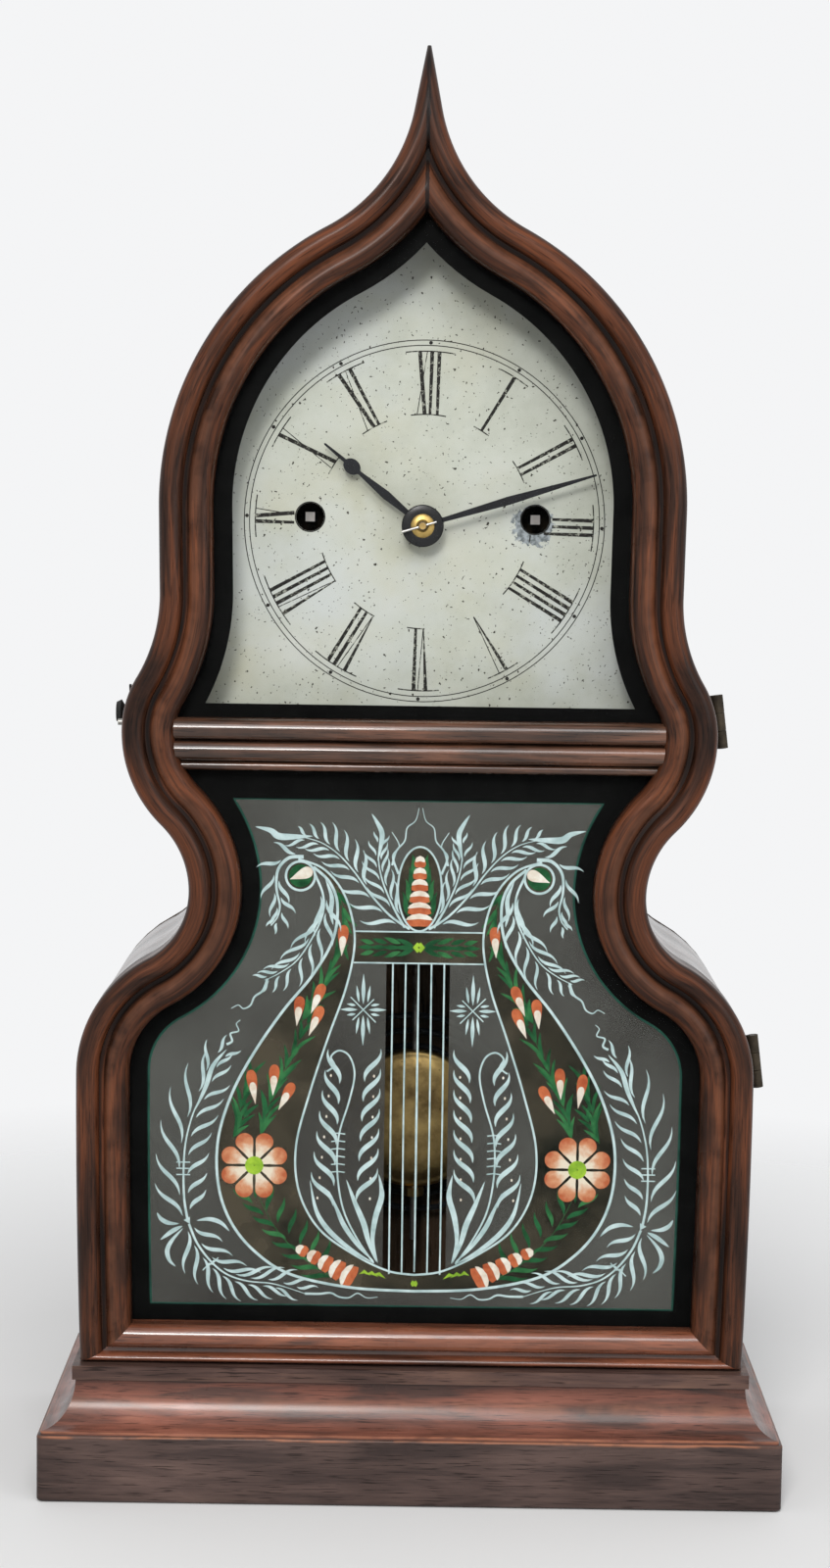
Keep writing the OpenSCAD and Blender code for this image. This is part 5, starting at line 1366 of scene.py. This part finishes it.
painted("tablet_rosettes", petals[0], petals[1:], "petals", petal_look)
stroke("lime", circle(ROSETTE, ROSETTE_EYE, 16), 1.75, "line", ring=True)

# %% [markdown]
# ## What grows in the lyre
#
# Six sprigs climb each arm between the buds, a row of leaves follows its foot, and a round leaf
# lies in each scroll. Leaves fill the crossbar and the oval, and small touches of lime mark the
# joints.

# %% What grows in the lyre
SPRIGS = (  # stem, pairs of leaves, their length, spread and width
    ([(28.5, 209.0), (25.6, 199.0), (26.2, 187.0)], 4, 7.5, 0.36, 0.80),
    ([(40.5, 162.0), (33.5, 174.0), (27.5, 187.0)], 5, 10.0, 0.30, 0.80),
    ([(48.5, 139.0), (43.5, 151.0), (36.0, 166.0)], 6, 9.5, 0.34, 0.72),
    ([(54.0, 122.0), (51.5, 132.0), (47.0, 146.0)], 5, 9.5, 0.42, 0.72),
    ([(62.0, 123.5), (60.5, 134.0), (56.0, 147.0)], 5, 9.0, 0.34, 0.72),
    ([(63.5, 121.5), (61.0, 126.0), (58.5, 131.0)], 3, 6.5, 0.42, 0.72))
BUDS = (  # head and tip
    ((25.9, 196.6), (26.6, 185.8)), ((32.8, 176.0), (36.9, 165.6)),
    ((40.6, 171.6), (41.8, 161.2)), ((33.2, 168.2), (37.6, 157.8)),
    ((57.6, 145.6), (55.8, 133.6)), ((49.2, 147.6), (49.8, 136.6)),
    ((42.8, 141.2), (47.8, 131.6)))
FOOT_STEM = [(27.0, 72.0), (38.0, 79.0), (48.5, 90.0), (55.5, 103.5)]

for entry in SPRIGS:
    sprig(*entry)
for i in range(8):
    u = i / 7
    x, z = 29.0 + 27.5 * u, 72.6 + 26.0 * u ** 1.15
    to_tip((x, z), (x + 10.5 - 3.6 * u, z + 1.0 + 4.0 * u), -0.35, 1.0, green(i % 3 == 1))
    if i:
        to_tip((x - 1.0, z + 1.6), (x - 3.6 + 0.6 * u, z + 10.6), 0.3, 0.95, green(i % 3 == 2))
stroke("light_leaf", smooth_line(FOOT_STEM), 0.22, "tail")
for head, tip in BUDS:
    bud(head, tip, 2.1)
stroke("leaf", circle(SCROLL, 2.2, 16), 2.1, "line", ring=True)
for colour, head, tip, width in (("cream", (-4.0, 2.0), (3.6, -1.2), 2.3),
                                 ("orange", (-4.2, 2.1), (0.4, 0.2), 1.5)):
    head, tip = ((SCROLL[0] + x, SCROLL[1] + z) for x, z in (head, tip))
    stroke(colour, eased(head, tip), width, "drop")
for i in range(4):
    for lean in (-0.42, 0.0, 0.42):
        foot = (1.6 + 4.6 * i, 189.0 + 3.4 * lean * (1 if i else 0.4))
        barb(foot, lean * (0.9 - 0.12 * i), 7.6 - 0.6 * i - 2.0 * abs(lean), 0.2 * lean, 0.95,
             green(lean and i % 2))
for i in range(4):
    to_tip((3.5 - 0.6 * i, 199.5 + 4.8 * i), (6.0 - 1.1 * i, 208.5 + 4.3 * i), 0.25, 1.05,
           green(i % 2))
stroke("lime", [(0.0, 190.4), (1.3, 189.1), (0.0, 187.8)], 0.95, "line")
stroke("lime", [(0.0, 71.6), (0.5, 70.9), (0.0, 70.2)], 0.9, "line")
for i in range(3):
    x, z = 10.0 + 2.6 * i, 72.6 + 0.5 * i
    stroke("lime", [(x, z), (12.2 + 2.6 * i, 74.2 + 0.4 * i), (14.4 + 2.4 * i, 74.0)], 0.75)
print("strokes of the two greens:", len(STROKES["leaf"]), len(STROKES["light_leaf"]))

# %% [markdown]
# ## Shells
#
# A small twisted shell lies at the foot of each arm and a larger one stands in the oval. Each is a
# row of short strokes across its length, orange and cream by turns, that shrink towards the tip.

# %% Shells
BAND_BOW = 1.3


def shell(mouth, tip, bands, size, sides=(1, -1)):
    """Bands across the way from mouth to tip."""
    dx, dz = tip[0] - mouth[0], tip[1] - mouth[1]
    length = math.hypot(dx, dz)
    ux, uz = dx / length, dz / length
    for i in range(bands):
        t = i / bands
        half = size * (1 - 0.80 * t)
        for colour, lift, scale in (("orange", 0.0, 1.05), ("cream", 0.42, 0.55)):
            cx, cz = between(mouth, tip, t + lift / bands)
            line = [(cx - uz * half * s + ux * (1 - s * s) * BAND_BOW,
                     cz + ux * half * s + uz * (1 - s * s) * BAND_BOW)
                    for s in (-1, -0.8, -0.5, 0, 0.5, 0.8, 1)]
            stroke(colour, line, 0.50 * scale * length / bands, sides=sides)


shell((21.5, 72.6), (41.5, 83.4), 5, 4.3)
shell((0.0, 197.0), (0.0, 221.0), 6, 4.7, sides=(1,))
print("strokes of orange and cream:", len(STROKES["orange"]), len(STROKES["cream"]))

# %% [markdown]
# ## Sprays
#
# Pale feather sprays fill the rest: a pair above the crossbar, a drooping one at each scroll, and
# two that part at a knot in each lower corner.

# %% Sprays
FEATHERS = (  # stem, left barbs, right barbs, and what differs from a common feather
    ([(3.3, 195.5), (10.0, 200.0), (17.0, 207.5), (22.5, 215.0), (28.0, 221.0), (34.0, 225.0),
      (41.0, 227.0)],
     (7, 0.38, 0.94, (12.0, 10.5, 4.0), (0.50, 0.58, 0.60)),
     (9, 0.10, 0.94, (12.5, 10.0, 7.0), (0.50, 0.60, 0.50)), {"width": 0.85}),
    ([(5.0, 196.0), (9.0, 203.0), (12.8, 212.0), (14.3, 220.0), (13.4, 228.0)],
     (6, 0.15, 0.85, (12.0, 9.5, 4.5), (0.34, 0.40, 0.42)),
     (6, 0.25, 0.88, (10.5, 8.5, 4.0), (0.42, 0.48, 0.45)), {"width": 0.68}),
    ([(36.0, 214.0), (33.2, 207.0), (33.3, 200.0), (37.0, 191.5), (42.0, 184.0), (48.0, 179.5),
      (53.0, 177.0)],
     (8, 0.16, 0.93, (14.0, 12.5, 5.0), (0.36, 0.42, 0.46)),
     (8, 0.20, 0.93, (12.0, 11.0, 4.5), (0.30, 0.50, 0.62)), {"width": 0.78}),
    ([(40.0, 220.0), (45.0, 219.6), (48.7, 215.5), (49.2, 209.0), (48.0, 203.0), (48.8, 199.0),
      (51.0, 196.0)],
     (6, 0.08, 0.82, (8.5, 9.5, 4.5), (0.45, 0.35, 0.30)),
     (4, 0.42, 0.88, (8.5, 7.0, 4.0), (0.45, 0.50, 0.45)), {"width": 0.8, "stem_width": 0.75}),
    ([(79.0, 92.5), (80.2, 100.0), (80.5, 110.0), (79.8, 120.0), (77.3, 130.0), (73.0, 139.5),
      (70.5, 147.0), (66.0, 152.5)],
     (10, 0.06, 0.93, (9.0, 12.5, 6.0), (0.85, 0.68, 0.42)),
     (8, 0.02, 0.92, (15.0, 21.0, 7.0), (0.52, 0.27, 0.26)),
     {"width": 0.88, "bow": 0.42, "gap": 1.7}),
    ([(78.5, 91.0), (75.5, 84.0), (70.5, 77.5), (65.0, 73.2), (58.0, 71.0), (50.0, 70.3),
      (44.0, 68.8), (38.0, 66.8)],
     (9, 0.04, 0.74, (15.0, 11.0, 9.0), (0.42, 0.34, 0.30)),
     (9, 0.03, 0.90, (11.0, 14.0, 7.5), (0.75, 0.52, 0.32)), {"width": 0.85, "gap": 1.5}))

for stem, left, right, more in FEATHERS:
    feather(stem, left, right, **more)
print("strokes of pale blue so far:", len(STROKES["pale"]))

# %% [markdown]
# ## Blades and tendrils
#
# Plain blades stand in the foot of the lyre and round the knots, and wavy tendrils run out from the
# sprays. They close the gaps that the feathers leave.

# %% Blades and tendrils
BLADES = (  # line and width
    ([(37.0, 227.2), (43.0, 226.9), (48.5, 227.0), (51.5, 229.0), (56.6, 230.2)], 1.35),
    ([(14.6, 219.0), (13.6, 224.0), (13.2, 228.5), (14.8, 232.0), (16.8, 235.2)], 1.0),
    ([(76.8, 131.0), (73.0, 139.5), (70.6, 146.8), (66.0, 152.5)], 0.95),
    ([(32.4, 212.4), (30.2, 206.4), (30.4, 201.0), (29.6, 196.6)], 0.9),
    ([(82.0, 91.0), (85.5, 91.2), (88.2, 92.6), (89.6, 94.8)], 0.9),
    ([(80.8, 90.2), (84.2, 88.4), (88.4, 85.2)], 0.9),
    ([(80.6, 89.4), (84.4, 85.0), (86.0, 81.4), (85.2, 78.0), (83.0, 75.8)], 0.95),
    ([(75.8, 92.2), (71.5, 92.8), (67.5, 91.6), (64.4, 88.6)], 0.9),
    ([(12.8, 78.2), (14.6, 86.0), (13.8, 94.0), (11.8, 101.0), (11.9, 105.0), (12.8, 109.5)], 1.15),
    ([(13.2, 78.4), (16.0, 85.5), (17.8, 92.0), (21.0, 99.5), (24.0, 107.4)], 1.15),
    ([(14.0, 78.6), (19.5, 84.0), (24.5, 91.0), (27.0, 96.5), (30.0, 103.4)], 0.95),
    ([(14.6, 78.2), (22.5, 83.0), (30.0, 89.5), (34.4, 96.5), (36.6, 107.0)], 1.0))
TENDRILS = (  # line and width
    ([(52.0, 177.5), (53.6, 173.4), (56.4, 171.2), (57.8, 168.2), (60.2, 167.0), (62.0, 168.2),
      (64.4, 167.0)], 0.5),
    ([(65.9, 154.4), (64.0, 155.6), (64.6, 158.2), (61.8, 159.2), (62.6, 161.6),
      (61.2, 163.0)], 0.5),
    ([(38.0, 66.8), (33.0, 66.8), (29.0, 67.2), (26.0, 65.8), (22.6, 65.6), (19.6, 67.2),
      (16.4, 65.6), (12.6, 66.0)], 0.5),
    ([(9.6, 217.5), (8.2, 222.5), (5.4, 226.0), (4.6, 230.5), (1.8, 233.0), (0.6, 237.4)], 0.42),
    ([(7.4, 214.6), (9.4, 220.6), (7.2, 224.2), (9.8, 229.0)], 0.5))
KNOT = (78.9, 92.3)

for line, width in BLADES:
    stroke("pale", smooth_line(line, 5), width)
stroke("pale", [polar(KNOT, 0.6, a) for a in (0.0, 2.1, 4.2)], 1.0, "line", ring=True)
for line, width in TENDRILS:
    stroke("pale", smooth_line(line, 6), width, "tail")
print("strokes of pale blue so far:", len(STROKES["pale"]))

# %% [markdown]
# ## Inside the lyre
#
# A crook rises on each side of the strings with two rows of curved strokes and small dots between
# them, short ties cross it, and a star hangs below the crossbar. Then each colour's strokes become
# one mesh, at the depth that its turn in the painting gives it.

# %% Inside the lyre
CROOK = [(14.2, 78.0), (20.0, 86.5), (25.0, 97.0), (27.2, 110.0), (26.8, 123.0), (23.4, 135.0),
         (21.6, 144.5), (23.4, 150.8), (27.0, 152.8), (29.8, 150.6), (28.6, 147.6), (31.2, 145.4)]
TIE_W = 0.24
STAR = (18.9, 167.2)
STAR_RAYS = (8.0, 6.2, 12.5, 5.2)

stroke("pale", smooth_line(CROOK, 6), 0.36, "line")
for i in range(6):
    z = 110.0 + 2.7 * i
    stroke("pale", [(24.6, z), (27.0, z + 0.3), (29.4, z)], TIE_W, "line")
for i in range(3):
    z = 108.4 + 2.2 * i
    stroke("pale", [(78.2, z), (83.0, z)], TIE_W, "line")
    x, z = 68.2 + 1.5 * i, 77.6 - 1.0 * i + 1.6
    stroke("pale", [(x, z), (x + 2.4, z - 2.6)], TIE_W, "line")
for i in range(7):
    to_tip((28.6 - 0.3 * i, 98.0 + 7.2 * i), (36.2 - 0.9 * i, 110.0 + 7.2 * i), -0.6, 1.0)
    to_tip((20.5 - 0.4 * i, 100.0 + 7.0 * i), (13.2 - 0.1 * i, 111.6 + 7.0 * i), 0.6, 1.0)
    for x in (33.8 - 0.7 * i, 15.6 - 0.15 * i):
        z = 100.4 + 7.2 * i
        stroke("cream", [(x, z), (x + 0.3, z + 0.4), (x, z + 0.8)], 0.34, "line")

for i in range(8):
    a = math.radians(45 * i)
    ray = STAR_RAYS[i % 4]
    if i % 2:
        stroke("pale", [polar(STAR, r, a) for r in (0.0, ray)], TIE_W, "line")
        continue
    for lean, share, start, width in ((0.0, 1.0, 2.0, 0.68), (0.52, 0.62, 3.0, 0.55),
                                      (-0.52, 0.62, 3.0, 0.55)):
        barb(polar(STAR, start, a + lean), a + 0.28 * lean, share * (ray - start), 0.0, width)

for colour, look in STROKE_PAINTS.items():
    name = f"tablet_{colour}_strokes".replace("leaf_strokes", "leaves")
    brush(name, colour, behind(colour), look)
stroke("green_line", tablet_sight, 0.42, "line", ring=True, sides=(1,))
brush("tablet_green_line", "green_line", behind("green_line"), line_paint, middle=0.0)

# %% [markdown]
# ## Figures of the dial
#
# Two fine circles with a dot at every fifth minute, and Roman figures that stand on the centre. A
# figure is a row of thick and thin strokes between two curved bars. The painter's ring sits a
# little more than one degree off upright, and the ink has worn away in flecks.

# %% Circles and figures
INK_CENTRE = (0.6, 334.75)
RING_TURN = math.radians(1.3)
RINGS, RING_W, DOTS_AT, DOT_R = (60.6, 62.4), 0.19, 61.5, 0.66
FIGURE_LOW, FIGURE_HIGH = 37.0, 58.6
THICK, THIN, BAR_W = 0.78, 0.18, 0.24
OUTER_PAST, INNER_PAST = 4.3, 1.8  # how far the bars reach past their letters
FIGURES = ("XII", "I", "II", "III", "IIII", "V", "VI", "VII", "VIII", "IX", "X", "XI")
WIDTHS = {"I": 2.5, "V": 3.3, "X": 3.6}
LETTERS = {  # strokes of a letter: sides at the inner and the outer bar, width, share at its start
    "I": ((0.0, 0.0, THICK, 0.72),),
    "V": ((0.2, -1.3, THICK, 0.2), (0.3, 1.5, THIN, 1.0)),
    "X": ((1.2, -1.2, THICK, 1.0), (-1.4, 1.4, THIN, 1.0))}
HOLES = (RIGHT_HOLE, (-RIGHT_HOLE[0], RIGHT_HOLE[1]))
HOLE_R, HOLE_RIM = 4.92, 5.3


def on_dial(r, a):
    """A point of the dial, by its distance from the painter's centre and its turn from upright."""
    return (INK_CENTRE[0] + r * math.sin(a), INK_CENTRE[1] + r * math.cos(a))


def clear_of_holes(point):
    """Whether a point lies beyond the rims of both winding holes."""
    return min(math.dist(point, hole) for hole in HOLES) >= HOLE_RIM + 0.2


def ink_line(points, width, ring=False, kind="ink", start=1.0):
    """Adds a stroke of the pen, whose width starts at a share of its full width."""
    stroke(kind, points, width, "wedge", start, ring, sides=(1,))


def radial(a, low_side, high_side, width, start):
    """A stroke from the inner bar to the outer, less what a winding hole takes from its start."""
    points = []
    for i in range(25):
        t = i / 24
        r = FIGURE_LOW + (FIGURE_HIGH - FIGURE_LOW) * t
        point = on_dial(r, a + (low_side + (high_side - low_side) * t) / r)
        points = points + [point] if clear_of_holes(point) else []
    ink_line(points, width, start=start)


def arc_bar(r, a, reach, steps):
    """Points of a curved bar, as far to both sides of a figure as it reaches."""
    return [on_dial(r, a + reach * (i / steps - 1) / r) for i in range(2 * steps + 1)]


# %% [markdown]
# ## Drawing the dial
#
# The circles come first. Then each hour gets its dot, its letters side by side, and the two bars
# that tie them. The point of a V stands on the inner circle by itself, without a bar.

# %% Drawing the dial
for r in RINGS:
    ink_line([on_dial(r, math.tau * i / 120) for i in range(120)], RING_W, True, "fine_ink")
dots = []
for hour, figure in enumerate(FIGURES):
    a = math.tau * hour / 12 + RING_TURN
    dots.append([on_dial(r, a + side / DOTS_AT) for r, side in circle((DOTS_AT, 0.0), DOT_R, 10)])
    total = sum(WIDTHS[letter] for letter in figure)
    x = -total / 2
    for letter in figure:
        middle = x + WIDTHS[letter] / 2
        for low_side, high_side, width, start in LETTERS[letter]:
            radial(a, middle + low_side, middle + high_side, width, start)
        x += WIDTHS[letter]
    ink_line(arc_bar(FIGURE_HIGH, a, total / 2 + OUTER_PAST, 4), BAR_W)
    point = WIDTHS["V"] if "V" in figure else 0.0
    if point < total:
        letters_a = a + point / 2 / FIGURE_LOW
        bar = arc_bar(FIGURE_LOW, letters_a, (total - point) / 2 + INNER_PAST, 12)
        for half in (bar[:13], bar[12:]):
            half = [p for p in half if clear_of_holes(p)]
            if len(half) > 1:
                ink_line(half, BAR_W)
for name, kind, look in (("dial_figures", "ink", ink), ("dial_circles", "fine_ink", fine_ink)):
    brush(name, kind, DIAL_FRONT - 0.02, look, "case", middle=0.0)

# %% [markdown]
# ## Rims and dots
#
# A dark ring edges each winding hole, painted shade that widens the dark of the hole, and a dot
# marks each fifth minute. Both are flat films like the borders, because a pen stroke can't be round.

# %% Rims and dots
# Painted shade: a black ring round each winding hole.
for hole, word in zip(HOLES, ("right", "left")):
    rim, bore = circle(hole, HOLE_RIM, 48), circle(hole, HOLE_R, 48)
    piece(f"winding_hole_shade_rim_{word}", film("rim", rim, [bore], DIAL_FRONT - 0.04, 0.03), fine_ink,
          "case")
piece("dial_dots", film("dots", dots[0], dots[1:], DIAL_FRONT - 0.03, 0.02), fine_ink, "case")

# %% [markdown]
# ## Hands
#
# The hands are cut from thin steel and blued. Each is one outline, from its round hub to its tip:
# at every place along it, the widest of the blade, the bulge and the hub gives its half width.

# %% Hands
HAND_T = 0.8
HAND_PLACES = 110


def hand(name, node, body, length, turn, widths, bulge, hub, bore):
    """A flat hand; the bulge is (place, half length, half width), and the hub is its radius."""
    def half_width(s):
        """Half the hand's width at a place along it."""
        result = 0.0
        for (sa, wa), (sb, wb) in zip(widths, widths[1:]):
            if sa <= s <= sb:
                result = 0.5 * (wa + (wb - wa) * (s - sa) / (sb - sa))
        for middle, half_long, half_wide in (bulge, (0.0, hub, hub)):
            if half_long and abs(s - middle) < half_long:
                result = max(result, half_wide * math.sqrt(1 - ((s - middle) / half_long) ** 2))
        return result

    reach = length + hub - 0.05
    places = [0.05 - hub + reach * i / HAND_PLACES for i in range(HAND_PLACES + 1)]
    sides = [(half_width(s), s) for s in places]
    flat = sides + [(-w, s) for w, s in reversed(sides)]
    c, s = math.cos(math.radians(turn)), math.sin(math.radians(turn))
    line, hole = ([(DIAL_CENTRE[0] + x * c + z * s, DIAL_CENTRE[1] + z * c - x * s)
                   for x, z in points] for points in (flat, circle((0.0, 0.0), bore, 32)))
    low, high = box_mm(node)
    front = 0.5 * (low[1] + high[1] - HAND_T) if node == "minute_hand" else low[1]
    piece(name, film(name, line, [hole], front, HAND_T), blued_steel, body, [node])


hand("minute_hand_blade", "minute_hand", "minute_hand_group", 62.2, 73.0,
     ((0.0, 1.2), (31.0, 2.9), (62.2, 0.7)), (0.0, 0.0, 0.0), 7.0, 1.9)
hand("hour_hand_blade", "hour_hand", "hour_hand_group", 44.2, 309.0,
     ((0.0, 1.0), (16.5, 3.1), (28.5, 1.3), (36.0, 1.3), (44.2, 0.7)), (31.7, 3.2, 2.6), 4.7, 3.1)

# %% [markdown]
# ## Hub and bob
#
# A domed black collar holds the minute hand, a domed brass washer sits on it under the pin, and the
# steel end of the centre arbor shows in the washer's middle. The bob is a lead disc in a pressed
# brass shell with a rolled rim. All are turned here from half a section.

# %% Hub and bob
HUB_FRONT = box_mm("hand_washer")[1][1]
TIP_FRONT = min(box_mm("hand_taper_pin")[0][1], HUB_FRONT - 1.6) - 0.15
COLLAR = [(1.9, 2.4), (7.0, 2.4), (7.25, 2.1), (7.25, 0.35), (6.95, 0.02), (6.5, -0.10),
          (5.6, -0.24), (4.7, -0.30), (4.05, -0.25), (4.05, 0.5), (1.9, 0.5), (1.9, 2.4)]
DOME = [(1.5, 0.0), (4.15, 0.0), (4.2, -0.15), (3.9, -0.45), (3.0, -0.75), (2.2, -0.85),
        (1.5, -0.5), (1.5, 0.0)]
ARBOR_R = 1.42
ARBOR = [(0.0, HUB_FRONT + 0.4), (ARBOR_R, HUB_FRONT + 0.4), (ARBOR_R, TIP_FRONT + 0.25),
         (1.15, TIP_FRONT), (0.0, TIP_FRONT)]


def on_hub(name, mesh_name, profile, look, nodes=(), steps=64):
    """A piece turned about the hands' axis that goes round with the minute hand."""
    mesh = turned(mesh_name, profile, DIAL_CENTRE, steps)
    piece(name, mesh, look, "minute_hand_group", nodes, crease=30)


def at_hub(profile):
    """A profile moved to the front of the hub."""
    return [(r, HUB_FRONT + y) for r, y in profile]


washer_brass = metal("washer_brass", (0.60, 0.42, 0.14), (0.20, 0.13, 0.045), 0.3)
on_hub("minute_hand_collar", "collar", at_hub(COLLAR), collar_black)
on_hub("hub_washer", "washer", at_hub(DOME), washer_brass, ["hand_washer"])
on_hub("centre_arbor_tip", "arbor_tip", ARBOR, steel, steps=24)

bob_low, bob_high = box_mm("pendulum_bob")
bob_centre = (0.0, 0.5 * (bob_low[2] + bob_high[2]))
bob_y, bob_r = 0.5 * (bob_low[1] + bob_high[1]), 0.5 * (bob_high[0] - bob_low[0])
BOB_FRONT = [(0.0, -3.95), (10.0, -3.85), (19.0, -3.35), (22.8, -2.75), (23.4, -2.35),
             (24.2, -2.5), (25.2, -2.1), (25.85, -1.1), (bob_r, 0.0)]
profile = [(r, bob_y + y) for r, y in BOB_FRONT] + [(r, bob_y - y) for r, y in BOB_FRONT[-2::-1]]
bob_brass = metal("bob_brass", (0.50, 0.36, 0.14), (0.20, 0.135, 0.055), 0.3, 0.14,
                  brushed=(6, 1, 0.35))
piece("bob_shell", turned("bob", profile, bob_centre, 96), bob_brass, "bob",
      ["pendulum_bob"], crease=50)

# %% [markdown]
# ## Floor
#
# A pale disc under the clock catches its shadow. Towards its rim it turns clear, so that it fades
# into the plain studio behind it.

# %% Floor
FLOOR_R, FLOOR_DROP = 0.65, 0.0004
FADE_START, FADE_END = 0.22, 0.62

floor_look, tree, shader = new_material("floor_paper")
vector = place_of(tree)
tree.links.new(ramp(tree, noise(tree, vector, 3.0), (0.2, 0.80), (0.8, 0.83)),
               shader.inputs["Base Color"])
gloss(shader, 0.7, specular=0.2)
distance = tree.nodes.new("ShaderNodeVectorMath")
distance.operation = "LENGTH"
tree.links.new(vector, distance.inputs[0])
tree.links.new(ramp(tree, distance.outputs["Value"], (FADE_START, 1.0), (FADE_END, 0.0)),
               shader.inputs["Alpha"])
bm = bmesh.new()
bmesh.ops.create_circle(bm, cap_ends=True, segments=96, radius=FLOOR_R)
bmesh.ops.translate(bm, vec=(0, 0, -FLOOR_DROP), verts=bm.verts)
floor = bpy.data.objects.new("floor", to_mesh(bm, "floor"))
bpy.context.scene.collection.objects.link(floor)
floor.data.materials.append(floor_look)
print("floor:", 2 * FLOOR_R, "m across")

# %% [markdown]
# ## Light
#
# A small soft lamp above the camera, a little to the left, gives the mouldings their form and
# throws the hands' shadows on the dial. A large weak one fills the right side, and a wide one
# lights the top. The world is brighter to the eye and in reflections than it is as a light, so the
# background is nearly white and the object stays at a plain level.

# %% Light
MIDDLE_HEIGHT = 0.25
SEEN, LIT = 0.92, 0.55


def lamp(name, place, size, power, colour=(1.0, 1.0, 1.0)):
    """A square soft lamp that looks at the clock's middle."""
    data = bpy.data.lights.new(name, "AREA")
    data.size = size
    data.energy = power
    data.color = colour
    obj = bpy.data.objects.new(name, data)
    obj.location = place
    obj.rotation_mode = "QUATERNION"
    view = Vector((0, 0, MIDDLE_HEIGHT)) - Vector(place)
    obj.rotation_quaternion = view.to_track_quat("-Z", "Y")
    bpy.context.scene.collection.objects.link(obj)
    print(f"{name} lamp: {power} W, {size} m wide, {view.length:.2f} m away")


lamp("key", (-0.2, -1.5, 1.0), 0.35, 12.6, (1.0, 0.985, 0.96))
lamp("fill", (1.2, -1.2, 0.7), 0.9, 4.2, (0.95, 0.98, 1.0))
lamp("top", (0.1, -1.34, 1.5), 0.7, 9.9)

world = bpy.data.worlds.new("studio")
bpy.context.scene.world = world
world.use_nodes = True
tree = world.node_tree
background = tree.nodes["Background"]
background.inputs["Color"].default_value = (0.985, 0.990, 1.0, 1.0)
path = tree.nodes.new("ShaderNodeLightPath").outputs
seen = calc(tree, "MAXIMUM", calc(tree, "MAXIMUM", path["Is Camera Ray"], path["Is Glossy Ray"]),
            path["Is Transmission Ray"])
strength = calc(tree, "ADD", calc(tree, "MULTIPLY", seen, SEEN - LIT), LIT)
tree.links.new(strength, background.inputs["Strength"])
bpy.context.scene.view_settings.view_transform = "Standard"
